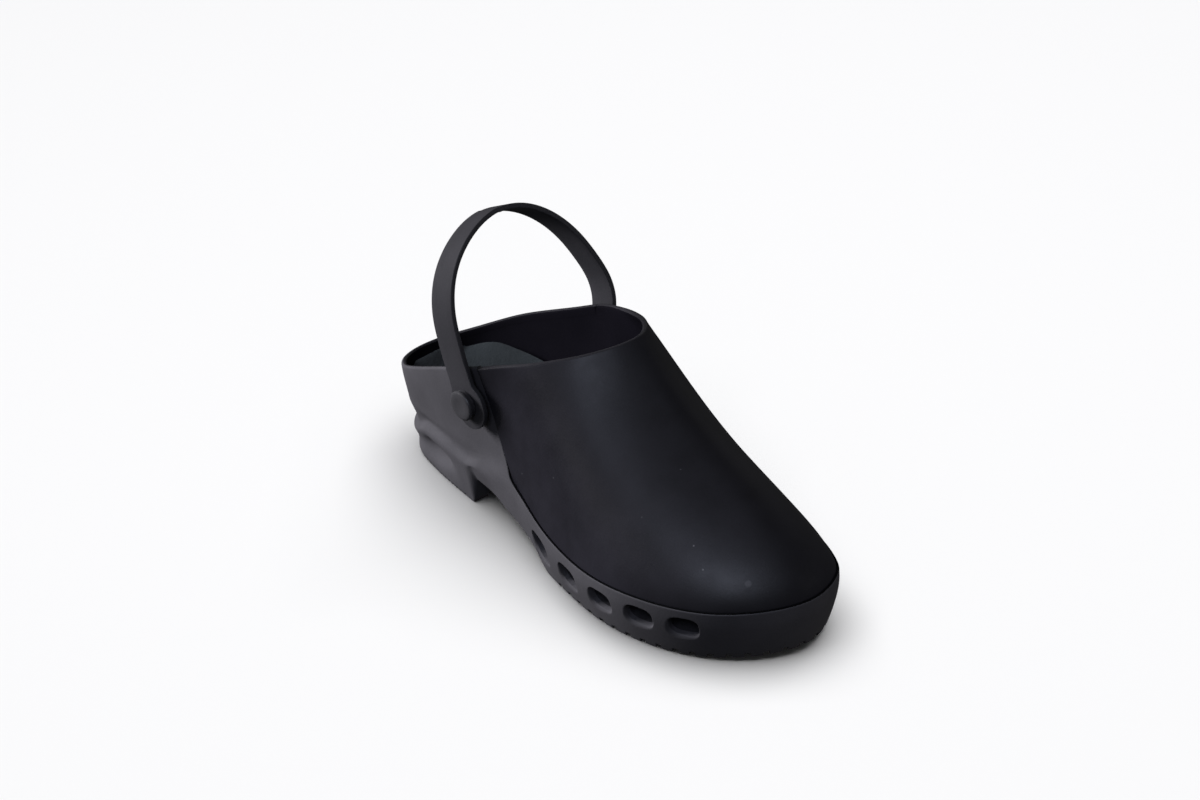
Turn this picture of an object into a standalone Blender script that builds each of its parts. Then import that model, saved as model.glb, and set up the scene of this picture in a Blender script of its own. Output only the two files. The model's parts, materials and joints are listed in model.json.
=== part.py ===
"""Moulded work clog, right foot: sole with rand, upper shell, insole, swivelling heel strap on two press buttons.

Lengths in the tables and constants are millimetres. t runs from the heel back towards the toe,
x to the wearer's left (lateral side negative), z up from the ground.
"""

import math

import bmesh
import bpy
import numpy as np

MM = 0.001

# ------------------------------------------------------------------ sizes
MID_T = 146.1           # t of the origin, half way along the shoe
MID_X = -5.1            # x of the origin, half way across it
WALL_THICK = 3.0        # wall of the upper
FIT = 0.55              # space between the upper's foot and the shelf it stands on
LIP_THICK = 2.2         # rand lip that laps the vamp
SHELF_ROOM = 0.6        # space at either side of the upper's wall
TOE_SPRING = 6.0        # lift of the tread under the toe
SPRING_FROM = 215.0
CORE_HALF = 0.58        # share of the half width that the shank rib takes
CORE_LIFT = 1.5         # height of the shank rib's underside
INSOLE_THICK = 3.0
INSOLE_DISH = 4.0       # rise of the heel cup's edge
VENT_DEPTH = 13.0
PIVOT_T = 94.6          # strap pivot
PIVOT_Z = 75.5
TAB_FACE = 43.3         # |x| of the strap tab's inner face
STRAP_THICK = 2.6
STRAP_WIDTH = 17.5
STRAP_LEAN = 0.341      # lean of the hoop towards the heel, radians
STRAP_TWIST = 0.136     # extra lean of the band at the top of the hoop
STRAP_TURN = -0.057     # the hoop's turn about the vertical, radians
STRAP_AHEAD = 1.2       # how far the hoop stands ahead of its pivots
STRAP_BLEND = 24.0      # height over which turn and offset set in
TAB_RADIUS = 13.2
BUTTON_RADIUS = 7.4
BUTTON_PROUD = 4.2
SHANK_RADIUS = 3.4
BORE_RADIUS = 3.75

# Widest outline of the rand, one row for each section from heel back to toe tip.
# lip: top of the rand, where the upper starts. inset: from the widest outline in to the tread edge.
# under: not used at the tread, see ARCH. sunk: depth of the shelf below the lip. foot: inset of the upper's foot.
PLAN = [
    # lat_t   lat_x   med_t  med_x   lip   inset sunk  foot
    (0.5,     0.0,    0.5,   0.0,   26.0,  8.0,  0.0,  2.4),
    (4.0,   -13.5,    4.0,  13.5,   26.0,  7.2,  0.0,  2.4),
    (15.0,  -24.5,   15.0,  24.0,   26.0,  5.8,  0.0,  2.4),
    (30.0,  -29.6,   30.0,  29.2,   26.6,  5.0,  0.0,  2.3),
    (50.0,  -33.2,   50.0,  32.6,   27.8,  4.5,  0.0,  2.0),
    (70.0,  -35.8,   70.0,  34.4,   28.2,  4.3,  0.0,  1.8),
    (90.0,  -38.0,   90.0,  34.4,   31.5,  3.6,  0.3,  2.0),
    (108.0, -40.3,  108.0,  34.6,   37.2,  3.0,  1.6,  2.5),
    (125.0, -43.8,  126.0,  36.8,   36.3,  3.0,  3.0,  2.8),
    (150.0, -51.2,  152.0,  42.0,   30.8,  4.0,  3.0,  2.8),
    (178.0, -58.0,  182.0,  46.1,   29.0,  5.0,  3.0,  2.8),
    (205.0, -60.8,  210.0,  46.6,   29.6,  5.6,  3.0,  2.8),
    (233.0, -57.0,  238.0,  42.6,   30.6,  5.8,  3.0,  2.8),
    (256.0, -48.5,  260.0,  36.6,   31.4,  5.8,  3.0,  2.8),
    (273.0, -37.0,  276.0,  29.2,   32.4,  5.8,  3.0,  2.8),
    (286.5, -21.5,  287.5,  18.6,   33.6,  5.8,  3.0,  2.8),
    (293.5,  -1.5,  293.5,  -1.5,   34.2,  5.8,  3.0,  2.8),
]
# Collar edge, a row for each row of PLAN.
RIM = [
    # lat_t  lat_x   med_t  med_x    z
    (-1.3,   0.0,   -1.3,   0.0,   47.5),
    (3.5,  -14.5,    3.5,  14.0,   49.5),
    (14.5, -24.5,   14.0,  23.5,   54.2),
    (27.5, -31.0,   27.0,  30.0,   61.0),
    (46.0, -36.0,   45.0,  34.6,   70.8),
    (65.0, -38.9,   65.0,  37.4,   80.4),
    (84.0, -40.2,   84.0,  40.2,   89.0),
    (99.0, -40.0,   98.0,  41.6,   95.6),
    (112.0, -38.0, 111.0,  40.2,  101.0),
    (126.5, -33.9, 125.0,  36.4,  106.8),
    (138.0, -28.4, 137.0,  32.6,  111.0),
    (147.5, -21.8, 146.0,  28.6,  114.2),
    (154.0, -15.2, 152.5,  24.6,  116.2),
    (158.5,  -8.8, 157.0,  20.8,  117.6),
    (161.5,  -3.0, 160.3,  17.2,  118.6),
    (163.5,   3.0, 162.8,  13.2,  119.4),
    (164.1,   8.6, 164.1,   8.6,  119.8),
]
# Rise of the wall between rand and collar, a row for each row of PLAN: rise and lean carry the wall up and
# out from its foot, reach and drop carry it out and down from the collar edge.
WALL = [
    # lateral                      medial
    # rise  lean   reach  drop     rise  lean   reach  drop
    (8.0,   0.0,   0.0,   8.0,     8.0,   0.0,   0.0,   8.0),
    (8.0,   0.0,   0.0,   8.0,     8.0,   0.0,   0.0,   8.0),
    (9.0,   0.0,   0.0,   9.0,     9.0,   0.0,   0.0,   9.0),
    (11.0,  0.0,   0.0,  11.0,    11.0,   0.0,   0.0,  11.0),
    (14.0,  0.6,   0.0,  14.0,    14.0,   0.8,   0.0,  14.0),
    (17.0,  1.4,   0.2,  17.0,    17.0,   2.2,   0.3,  17.0),
    (18.0,  2.0,   0.4,  19.0,    18.0,   3.4,   0.6,  19.0),
    (18.0,  2.2,   0.9,  20.0,    18.0,   4.2,   1.2,  20.0),
    (19.0,  2.0,   4.0,  20.0,    18.0,   3.4,   5.0,  19.0),
    (21.0,  1.2,  12.0,  19.0,    18.0,   1.8,  18.0,  13.0),
    (23.0,  0.4,  18.0,  23.0,    18.5,   0.4,  22.0,  19.0),
    (25.0, -0.3,  22.0,  29.0,    18.0,  -0.6,  21.5,  29.0),
    (27.0, -0.8,  25.0,  35.0,    18.5,  -1.0,  21.0,  38.5),
    (29.0, -0.9,  28.0,  39.5,    21.5,  -1.0,  23.5,  43.5),
    (31.0, -0.9,  31.0,  42.5,    26.0,  -1.0,  27.5,  45.5),
    (33.0, -0.9,  34.0,  43.8,    30.5,  -0.9,  32.0,  45.0),
    (34.6, -0.9,  36.0,  44.0,    34.6,  -0.9,  36.0,  44.0),
]
# Height of the tread edge above the ground, between heel breast and ball.
ARCH = [(77.5, 0.0), (80.0, 17.0), (98.0, 17.0), (108.0, 13.8), (126.0, 11.4), (138.0, 7.6), (147.0, 0.0)]
# Height of the sole's top face, under the insole.
DECK = [(0.0, 40.0), (55.0, 40.0), (90.0, 38.2), (130.0, 33.0), (165.0, 29.4), (195.0, 28.0),
        (230.0, 27.4), (260.0, 27.9), (290.0, 29.6)]
# Side vents: t and height of the middle, length along the wall, height.
VENTS = [
    (148.5, 16.0, 14.5, 11.0),
    (176.5, 16.0, 14.5, 11.0),
    (203.5, 17.6, 14.5, 11.0),
    (229.0, 19.4, 15.0, 10.6),
    (252.5, 20.6, 15.0, 10.6),
]
VENT_SEGMENTS = 4       # segments in each rounded corner
# Cross grooves of the tread: first t, last t, pitch, width, depth.
TREAD_FORE = (157.0, 283.0, 9.0, 2.0, 2.0)
TREAD_HEEL = (20.0, 70.0, 10.0, 1.6, 1.2)
# The hoop in its own plane, points of the band's inner face evenly apart from lateral to medial pivot.
HOOP = [
    # x     height above the pivots
    (-43.3,  0.0),
    (-42.9, 15.0),
    (-42.4, 30.2),
    (-40.9, 45.2),
    (-35.8, 59.4),
    (-26.4, 71.4),
    (-13.3, 80.0),
    (1.3,   83.2),
    (15.8,  79.4),
    (28.2,  70.0),
    (37.3,  57.4),
    (43.2,  43.6),
    (46.6,  29.2),
    (44.9,  14.8),
    (43.3,   0.0),
]
HOOP_TOP = 83.2
HOOP_SECTIONS = 46
TAB_SECTIONS = 9


# ------------------------------------------------------------------ curves
def periodic_spline(values):
    """Closed cubic through evenly numbered rows: the rows and their second derivatives."""
    y = np.asarray(values, float)
    n = len(y)
    a = 4.0 * np.eye(n) + np.roll(np.eye(n), 1, 1) + np.roll(np.eye(n), -1, 1)
    r = 6.0 * (np.roll(y, -1, 0) - 2.0 * y + np.roll(y, 1, 0))
    return y, np.linalg.solve(a, r)


def around(table, q):
    """Value at loop position q, counted in rows: forwards on the lateral side, back on the medial."""
    y, m = table
    n = len(y)
    q = np.asarray(q, float) % n
    i = q.astype(int) % n
    j = (i + 1) % n
    f = (q - np.floor(q))[..., None]
    g = 1 - f
    return g * y[i] + f * y[j] + ((g ** 3 - g) * m[i] + (f ** 3 - f) * m[j]) / 6.0


def loop_of(rows, lat, med):
    rows = np.asarray(rows, float)
    return periodic_spline(np.vstack([rows[:, lat], rows[-2:0:-1][:, med]]))


ROWS = len(PLAN)
LOOP = 2 * (ROWS - 1)
PLAN_LOOP = loop_of(PLAN, [0, 1, 4, 5, 6, 7], [2, 3, 4, 5, 6, 7])
RIM_LOOP = loop_of(RIM, [0, 1, 4], [2, 3, 4])
WALL_LOOP = loop_of(WALL, [0, 1, 2, 3], [4, 5, 6, 7])


def point(t, x, z):
    """Shoe sizes in mm to model space in metres."""
    x, t, z = np.broadcast_arrays(x, t, z)
    return np.stack([x - MID_X, MID_T - t, z], -1) * MM


def outward(q):
    """Outward direction (t, x) of the widest outline."""
    d = (around(PLAN_LOOP, np.asarray(q) + 0.02) - around(PLAN_LOOP, np.asarray(q) - 0.02))[..., :2]
    n = np.stack([d[..., 1], -d[..., 0]], -1)
    return n / np.linalg.norm(n, axis=-1, keepdims=True)


def inset(q, amount):
    """Plan point (t, x) that lies the amount inside the widest outline."""
    return around(PLAN_LOOP, q)[..., :2] - outward(q) * np.asarray(amount)[..., None]


def steps(table, t):
    return np.interp(t, [row[0] for row in table], [row[1] for row in table])


def tread_height(t):
    """Height of the tread edge at t: flat heel, arch, flat ball, toe spring."""
    return steps(ARCH, t) + TOE_SPRING * (np.clip(np.asarray(t) - SPRING_FROM, 0, None) / (293.5 - SPRING_FROM)) ** 2


def upper_point(q, v):
    """Outer face of the upper in shoe sizes (t, x, z): v 0 at the foot, 1 at the collar edge."""
    q, v = np.broadcast_arrays(np.asarray(q, float), np.asarray(v, float))
    plan = around(PLAN_LOOP, q)
    wall = around(WALL_LOOP, q)
    rim = around(RIM_LOOP, q)
    out = outward(q)
    base = plan[..., :2] - out * plan[..., 5:6]
    z = plan[..., 2:3] - plan[..., 4:5] + FIT
    run = base - rim[..., :2]
    run = run / np.linalg.norm(run, axis=-1, keepdims=True)
    p0 = np.concatenate([base, z], -1)
    p1 = np.concatenate([base + out * wall[..., 1:2], z + wall[..., 0:1]], -1)
    p2 = np.concatenate([rim[..., :2] + run * wall[..., 2:3], rim[..., 2:3] - wall[..., 3:4]], -1)
    v = v[..., None]
    g = 1 - v
    return g ** 3 * p0 + 3 * g * g * v * p1 + 3 * g * v * v * p2 + v ** 3 * rim


# ------------------------------------------------------------------ objects
for old in list(bpy.data.objects):
    bpy.data.objects.remove(old, do_unlink=True)
PARTS = bpy.data.collections.new("chef_clog")
CUTTERS = bpy.data.collections.new("cutters")
for made in (PARTS, CUTTERS):
    bpy.context.scene.collection.children.link(made)


def material(name, colour, rough):
    mat = bpy.data.materials.new(name)
    mat.use_nodes = True
    shader = mat.node_tree.nodes["Principled BSDF"]
    shader.inputs["Base Color"].default_value = (*colour, 1.0)
    shader.inputs["Roughness"].default_value = rough
    return mat


def new_object(name, verts, faces, mat=None, home=PARTS):
    mesh = bpy.data.meshes.new(name)
    mesh.from_pydata([tuple(map(float, v)) for v in verts], [], [tuple(map(int, f)) for f in faces])
    mesh.validate()
    obj = bpy.data.objects.new(name, mesh)
    home.objects.link(obj)
    if home is CUTTERS:
        obj.hide_render = True
        obj.display_type = "WIRE"
    if mat:
        mesh.materials.append(mat)
        mesh.shade_smooth()
        mesh.set_sharp_from_angle(angle=math.radians(40))
    return obj


def face_out(obj):
    bm = bmesh.new()
    bm.from_mesh(obj.data)
    bmesh.ops.recalc_face_normals(bm, faces=bm.faces)
    bm.to_mesh(obj.data)
    bm.free()


def cut(obj, cutter, name):
    mod = obj.modifiers.new(name, "BOOLEAN")
    mod.operation = "DIFFERENCE"
    mod.solver = "EXACT"
    mod.object = cutter


# ------------------------------------------------------------------ cross rows shared by sole and insole
def loop_position(t, side):
    """Loop position at which the widest outline passes t, on the lateral (0) or medial (1) side."""
    low, high = 2.0, ROWS - 3.0
    for _ in range(40):
        mid = 0.5 * (low + high)
        q = mid if side == 0 else LOOP - mid
        if around(PLAN_LOOP, q)[0] < t:
            low = mid
        else:
            high = mid
    return 0.5 * (low + high)


HEEL_ENDS = [0.0, 0.5, 1.0, 1.5, 2.0, 2.5]
CROSS_T = [28.0, 40.0, 52.0, 65.0, 77.5, 80.0, 90.0, 99.0, 108.0, 117.0, 126.0, 137.0, 147.0, 158.0, 170.0, 183.0,
           197.0, 211.0, 225.0, 238.0, 250.0, 260.0]
TOE_ENDS = [13.75, 14.25, 14.75, 15.2, 15.6, 16.0]


def cross_rows():
    """Loop positions (lateral, medial) of each cross row, heel to toe; the first and last are single points."""
    rows = [(p, LOOP - p) for p in HEEL_ENDS]
    rows += [(loop_position(t, 0), LOOP - loop_position(t, 1)) for t in CROSS_T]
    rows += [(p, LOOP - p) for p in TOE_ENDS]
    return rows


CROSS = cross_rows()
RING_Q = [lat for lat, _ in CROSS] + [med for _, med in CROSS[-2:0:-1]]


def ring_index(row, side):
    """Place in the ring of a cross row's lateral (0) or medial (1) end."""
    last = len(CROSS) - 1
    if side == 0 or row in (0, last):
        return row
    return 2 * last - row


def ladder(verts, faces, ring_start, columns, height, flip):
    """Face that spans a ring from side to side along the cross rows. height(t, s) gives z, s from -1 to 1."""
    last = len(CROSS) - 1
    grid = []
    for row in range(last + 1):
        a = ring_start + ring_index(row, 0)
        b = ring_start + ring_index(row, 1)
        if a == b:
            grid.append([a])
            continue
        line = [a]
        pa, pb = np.array(verts[a]), np.array(verts[b])
        for s in columns:
            f = 0.5 * (1 + s)
            p = pa * (1 - f) + pb * f
            z = height(MID_T - p[1] / MM, s)
            verts.append((p[0], p[1], z * MM))
            line.append(len(verts) - 1)
        line.append(b)
        grid.append(line)
    for row in range(last):
        one, two = grid[row], grid[row + 1]
        if len(one) == 1 or len(two) == 1:
            tip, line = (one[0], two) if len(one) == 1 else (two[0], one)
            for k in range(len(line) - 1):
                f = (tip, line[k], line[k + 1])
                faces.append(f if (len(one) == 1) != flip else f[::-1])
            continue
        for k in range(len(one) - 1):
            f = (one[k], two[k], two[k + 1], one[k + 1])
            faces.append(f[::-1] if flip else f)


def band(faces, start_a, start_b, count):
    for i in range(count):
        j = (i + 1) % count
        faces.append((start_a + i, start_a + j, start_b + j, start_b + i))


# ------------------------------------------------------------------ sole
RUBBER = material("sole_rubber", (0.035, 0.035, 0.038), 0.55)
SHELL = material("upper_rubber", (0.022, 0.022, 0.026), 0.42)
FOAM = material("insole_foam", (0.045, 0.05, 0.05), 0.8)
BAND = material("strap_rubber", (0.03, 0.03, 0.033), 0.5)
PRESS = material("button_rubber", (0.03, 0.03, 0.032), 0.45)


def sole_rings():
    """Rings of the sole from tread edge to deck edge, as arrays of (t, x, z) at RING_Q."""
    q = np.array(RING_Q)
    plan = around(PLAN_LOOP, q)
    lip, tread_in, sunk, foot = plan[:, 2], plan[:, 3], plan[:, 4], plan[:, 5]
    edge = inset(q, tread_in)
    low = tread_height(edge[:, 0])
    shelf = lip - sunk
    tall = lip - low
    inner = foot + WALL_THICK + SHELF_ROOM
    deck = steps(DECK, inset(q, inner)[:, 0])

    def ring(amount, z):
        p = inset(q, amount)
        return np.column_stack([p, z])

    return [
        ring(tread_in, low),
        ring(tread_in * 0.80, low + 1.6),
        ring(tread_in * 0.42, low + tall * 0.32),
        ring(tread_in * 0.10, low + tall * 0.68),
        ring(0.0 * lip, lip - 1.2),
        ring(0.0 * lip + 0.5, lip),
        ring(foot - 0.9, lip),
        ring(foot - 0.7, np.minimum(shelf, lip - 0.001)),
        ring(inner, shelf),
        ring(inner + 0.15, deck),
    ]


def build_sole():
    rings = sole_rings()
    count = len(RING_Q)
    verts, faces = [], []
    for ring in rings:
        verts.extend(map(tuple, point(ring[:, 0], ring[:, 1], ring[:, 2])))
    for k in range(len(rings) - 1):
        band(faces, k * count, (k + 1) * count, count)

    def under(t, s):
        edge = tread_height(t)
        rib = min(edge, CORE_LIFT) if 77.0 < t < 147.5 else edge
        away = min(max((abs(s) - CORE_HALF) / 0.18, 0.0), 1.0)
        return rib + (edge - rib) * away

    ladder(verts, faces, 0, (-0.76, -0.58, -0.2, 0.2, 0.58, 0.76), under, True)
    ladder(verts, faces, (len(rings) - 1) * count, (-0.5, 0.0, 0.5), lambda t, s: steps(DECK, t), False)
    sole = new_object("sole", verts, faces, RUBBER)
    face_out(sole)
    return sole


def wall_frame(t, side):
    """Loop position and outward direction in model space at t on one side."""
    q = loop_position(t, side)
    q = q if side == 0 else LOOP - q
    n = outward(q)
    return q, np.array([n[1], -n[0], 0.0])


def vent_cutters():
    """Stadium-shaped blind pockets, one for each vent and side, in one cutter."""
    verts, faces = [], []
    for side in (0, 1):
        for t, z, long, high in VENTS:
            q, out = wall_frame(t, side)
            edge = inset(q, 3.0)
            centre = point(edge[0], edge[1], z)
            along = np.cross((0.0, 0.0, 1.0), out)
            up = np.array((0.0, 0.0, 1.0))
            radius = 0.46 * high
            start = len(verts)
            outline = []
            for corner, (sa, sz) in enumerate([(1, 1), (-1, 1), (-1, -1), (1, -1)]):
                for k in range(VENT_SEGMENTS + 1):
                    angle = math.radians(90 * corner + 90 * k / VENT_SEGMENTS)
                    outline.append((sa * (long / 2 - radius) + radius * math.cos(angle),
                                    sz * (high / 2 - radius) + radius * math.sin(angle)))
            count = len(outline)
            for depth, scale in ((9.0, 1.0), (-VENT_DEPTH, 0.86)):
                for a, b in outline:
                    verts.append(centre + (out * depth + along * a * scale + up * b * scale) * MM)
            faces.append(tuple(start + k for k in range(count)))
            faces.append(tuple(start + count + k for k in reversed(range(count))))
            for k in range(count):
                n = (k + 1) % count
                faces.append((start + n, start + k, start + count + k, start + count + n))
    cutter = new_object("vent_cutters", verts, faces, home=CUTTERS)
    face_out(cutter)
    return cutter


def bars(name, spec, low_of):
    """Row of bars across the tread, in one cutter."""
    first, final, pitch, width, depth = spec
    bm = bmesh.new()
    t = first
    while t <= final + 1e-6:
        z = low_of(t)
        made = bmesh.ops.create_cube(bm, size=1.0)
        for v in made["verts"]:
            v.co.x = v.co.x * 0.180
            v.co.y = v.co.y * width * MM + (MID_T - t) * MM
            v.co.z = (z + depth - 5.0 + v.co.z * 10.0) * MM
        t += pitch
    mesh = bpy.data.meshes.new(name)
    bm.to_mesh(mesh)
    bm.free()
    obj = bpy.data.objects.new(name, mesh)
    CUTTERS.objects.link(obj)
    obj.hide_render = True
    obj.display_type = "WIRE"
    return obj


sole = build_sole()
cut(sole, vent_cutters(), "vents")
cut(sole, bars("fore_grooves", TREAD_FORE, lambda t: float(tread_height(t))), "fore_grooves")
cut(sole, bars("heel_grooves", TREAD_HEEL, lambda t: 0.0), "heel_grooves")


# ------------------------------------------------------------------ upper
LEVELS = [0.0, 0.03, 0.1, 0.19, 0.29, 0.39, 0.49, 0.59, 0.68, 0.77, 0.86, 0.94, 1.0]
UP_UPPER = len(LEVELS) - 1


def build_upper():
    q = np.array(RING_Q)
    count = len(q)
    v = np.array(LEVELS)
    p = upper_point(q[:, None], v[None, :])
    verts = point(p[..., 0], p[..., 1], p[..., 2]).reshape(-1, 3)
    faces = []
    for i in range(count):
        j = (i + 1) % count
        for k in range(UP_UPPER):
            a, b = i * (UP_UPPER + 1) + k, j * (UP_UPPER + 1) + k
            faces.append((a, b, b + 1, a + 1))
    upper = new_object("upper", verts, faces, SHELL)
    mid = upper.data.polygons[UP_UPPER // 2]
    if mid.normal.y < 0:
        upper.data.flip_normals()
    shell = upper.modifiers.new("wall", "SOLIDIFY")
    shell.thickness = WALL_THICK * MM
    shell.offset = -1.0
    shell.use_even_offset = True
    shell.use_quality_normals = True
    return upper


upper = build_upper()


# ------------------------------------------------------------------ insole
def build_insole():
    q = np.array(RING_Q)
    plan = around(PLAN_LOOP, q)
    inner = plan[:, 5] + WALL_THICK + SHELF_ROOM + 1.6
    edge = inset(q, inner)
    base = steps(DECK, edge[:, 0]) + 0.3

    def dish(t):
        return INSOLE_DISH * np.clip((125.0 - np.asarray(t)) / 60.0, 0, 1)

    rings = [
        (inset(q, inner + 0.4), base),
        (edge, base + 0.5),
        (edge, base + INSOLE_THICK - 0.5 + dish(edge[:, 0])),
        (inset(q, inner + 0.6), base + INSOLE_THICK + dish(edge[:, 0])),
    ]
    count = len(q)
    verts, faces = [], []
    for plan_point, z in rings:
        verts.extend(map(tuple, point(plan_point[:, 0], plan_point[:, 1], z)))
    for k in range(3):
        band(faces, k * count, (k + 1) * count, count)

    def top(t, s):
        return steps(DECK, t) + 0.3 + INSOLE_THICK + float(dish(t)) * abs(s) ** 3

    ladder(verts, faces, 0, (-0.5, 0.0, 0.5), lambda t, s: steps(DECK, t) + 0.3, True)
    ladder(verts, faces, 3 * count, (-0.85, -0.5, 0.0, 0.5, 0.85), top, False)
    insole = new_object("insole", verts, faces, FOAM)
    face_out(insole)
    return insole


build_insole()


# ------------------------------------------------------------------ strap
def hoop_path():
    """Inner face of the band from the lateral pivot over the top to the medial pivot: (x, height above the pivot)."""
    y, m = natural(np.array(HOOP, float))
    return lambda p: on_natural(y, m, p), len(HOOP) - 1


def natural(y):
    """Cubic through evenly numbered points that leaves both ends straight up."""
    n = len(y)
    a = np.zeros((n, n))
    r = np.zeros_like(y)
    for i in range(1, n - 1):
        a[i, i - 1:i + 2] = (1.0, 4.0, 1.0)
        r[i] = 6.0 * (y[i + 1] - 2.0 * y[i] + y[i - 1])
    up = np.array((0.0, 15.0))
    a[0, :2] = (2.0, 1.0)
    r[0] = 6.0 * ((y[1] - y[0]) - up)
    a[-1, -2:] = (1.0, 2.0)
    r[-1] = 6.0 * (-up - (y[-1] - y[-2]))
    return y, np.linalg.solve(a, r)


def on_natural(y, m, p):
    p = np.clip(np.asarray(p, float), 0, len(y) - 1)
    i = np.minimum(p.astype(int), len(y) - 2)
    f = (p - i)[..., None]
    g = 1 - f
    return g * y[i] + f * y[i + 1] + ((g ** 3 - g) * m[i] + (f ** 3 - f) * m[i + 1]) / 6.0


def tab_width(s):
    """Front and rear half widths of the tab, s mm above the pivot."""
    round_part = math.sqrt(max(TAB_RADIUS ** 2 - (s + 1.0) ** 2, 0.0))
    half = STRAP_WIDTH / 2
    front = max(round_part, half) if s > 0 else round_part
    rear = max(round_part * 0.86, half) if s > 0 else round_part * 0.86
    return front, rear


def build_strap():
    path, last = hoop_path()
    sections = []

    def section(x, r, direction, front, rear, rel):
        """Band section: direction is the plan/height direction of travel in the hoop plane."""
        lean = STRAP_LEAN
        turn = STRAP_LEAN + STRAP_TWIST * rel
        nx, nr = -direction[1], direction[0]
        centre_y = r * math.sin(lean)
        centre_z = r * math.cos(lean)
        corner = 0.6
        thick = STRAP_THICK
        blend = min(max(r / STRAP_BLEND, 0.0), 1.0)
        blend = blend * blend * (3 - 2 * blend)
        loop = []
        for out, wide in ((0.0, -rear + corner), (0.0, front - corner), (corner, front), (thick - corner, front),
                          (thick, front - corner), (thick, -rear + corner), (thick - corner, -rear),
                          (corner, -rear)):
            dx, dr = nx * out, nr * out
            y = centre_y + dr * math.sin(lean) - wide * math.cos(turn)
            y += (STRAP_TURN * x - STRAP_AHEAD) * blend
            z = centre_z + dr * math.cos(lean) + wide * math.sin(turn)
            loop.append(((x + dx - MID_X) * MM, (MID_T - PIVOT_T + y) * MM, (PIVOT_Z + z) * MM))
        sections.append(loop)

    low = -1.0 - TAB_RADIUS
    tab = [low + 0.15, low + 0.8, low + 2.2, low + 4.4, low + 7.2, low + 10.4, -1.0, 3.2, 7.8]
    for s in tab:
        front, rear = tab_width(s)
        section(-TAB_FACE, s, (0.0, 1.0), front, rear, 0.0)
    ps = np.linspace(0.0, last, HOOP_SECTIONS * 4)
    xy = path(ps)
    run = np.concatenate([[0.0], np.cumsum(np.hypot(*np.diff(xy, axis=0).T))])
    total = run[-1]
    marks = list(np.linspace(11.5, total - 11.5, HOOP_SECTIONS))
    for mark in marks:
        p = float(np.interp(mark, run, ps))
        x, r = path(np.array(p))
        d = path(np.array(p + 0.01)) - path(np.array(p - 0.01))
        d = d / np.linalg.norm(d)
        near = min(mark, total - mark)
        front = STRAP_WIDTH / 2
        rear = STRAP_WIDTH / 2
        if near < 15.0:
            front, rear = tab_width(near)
        section(x, r, d, front, rear, min(max(r / HOOP_TOP, 0.0), 1.0))
    for s in reversed(tab):
        front, rear = tab_width(s)
        section(TAB_FACE, s, (0.0, -1.0), front, rear, 0.0)
    verts = [p for loop in sections for p in loop]
    faces = []
    size = 8
    for k in range(len(sections) - 1):
        for i in range(size):
            j = (i + 1) % size
            a, b = k * size, (k + 1) * size
            faces.append((a + i, a + j, b + j, b + i))
    faces.append(tuple(reversed(range(size))))
    faces.append(tuple(range((len(sections) - 1) * size, len(sections) * size)))
    strap = new_object("strap", verts, faces, BAND)
    face_out(strap)
    return strap


strap = build_strap()


def bore(name, side):
    """Bore for a button's shank through tab and wall."""
    bm = bmesh.new()
    bmesh.ops.create_cone(bm, cap_ends=True, segments=24, radius1=BORE_RADIUS * MM, radius2=BORE_RADIUS * MM,
                          depth=24.0 * MM)
    mesh = bpy.data.meshes.new(name)
    bm.to_mesh(mesh)
    bm.free()
    obj = bpy.data.objects.new(name, mesh)
    CUTTERS.objects.link(obj)
    obj.hide_render = True
    obj.display_type = "WIRE"
    obj.rotation_euler = (0.0, math.pi / 2, 0.0)
    obj.location = ((side * TAB_FACE - MID_X) * MM, (MID_T - PIVOT_T) * MM, PIVOT_Z * MM)
    return obj


BORES = {side: bore("bore_" + word, side) for side, word in ((-1, "lateral"), (1, "medial"))}
for side in BORES:
    cut(upper, BORES[side], "bore")
    cut(strap, BORES[side], "bore")


# ------------------------------------------------------------------ buttons
def build_button(name, side):
    """Turned press button: domed head outside the tab, shank, flange inside the wall. Its axis is the swivel axis."""
    head = STRAP_THICK + 0.3          # from the tab's inner face to the head's underside
    top = head + BUTTON_PROUD
    inside = -INNER_FACE[side]
    profile = [
        (0.0, top),
        (3.6, top - 0.12),
        (BUTTON_RADIUS - 1.6, top - 0.55),
        (BUTTON_RADIUS - 0.3, top - 1.5),
        (BUTTON_RADIUS, top - 2.4),
        (BUTTON_RADIUS, head),
        (SHANK_RADIUS, head),
        (SHANK_RADIUS, inside),
        (5.4, inside),
        (5.4, inside - 1.2),
        (4.8, inside - 1.6),
        (0.0, inside - 1.6),
    ]
    mesh = bpy.data.meshes.new(name)
    mesh.from_pydata([(r * MM, 0.0, z * MM) for r, z in profile], [(k, k + 1) for k in range(len(profile) - 1)], [])
    mesh.materials.append(PRESS)
    obj = bpy.data.objects.new(name, mesh)
    PARTS.objects.link(obj)
    turn = obj.modifiers.new("turn", "SCREW")
    turn.axis = "Z"
    turn.angle = 2 * math.pi
    turn.steps = 24
    turn.render_steps = 24
    turn.use_merge_vertices = True
    turn.merge_threshold = 0.00001
    turn.use_smooth_shade = True
    obj.rotation_euler = (0.0, side * math.pi / 2, 0.0)
    obj.location = ((side * TAB_FACE - MID_X) * MM, (MID_T - PIVOT_T) * MM, PIVOT_Z * MM)
    return obj


def inner_face(side):
    """Distance from the tab's inner face to clear the wall's inner face all round the flange."""
    best = 0.0
    centre = np.array((PIVOT_T, PIVOT_Z))
    for q in np.linspace(5.0, 9.0, 81):
        for v in np.linspace(0.2, 0.98, 60):
            t, x, z = upper_point(q if side < 0 else LOOP - q, v)
            if np.hypot(t - centre[0], z - centre[1]) < 6.4:
                best = max(best, TAB_FACE - (abs(x) - WALL_THICK))
    return best + 0.35


INNER_FACE = {side: inner_face(side) for side in (-1, 1)}
build_button("button_lateral", -1)
build_button("button_medial", 1)
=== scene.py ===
import json
import math

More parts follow.
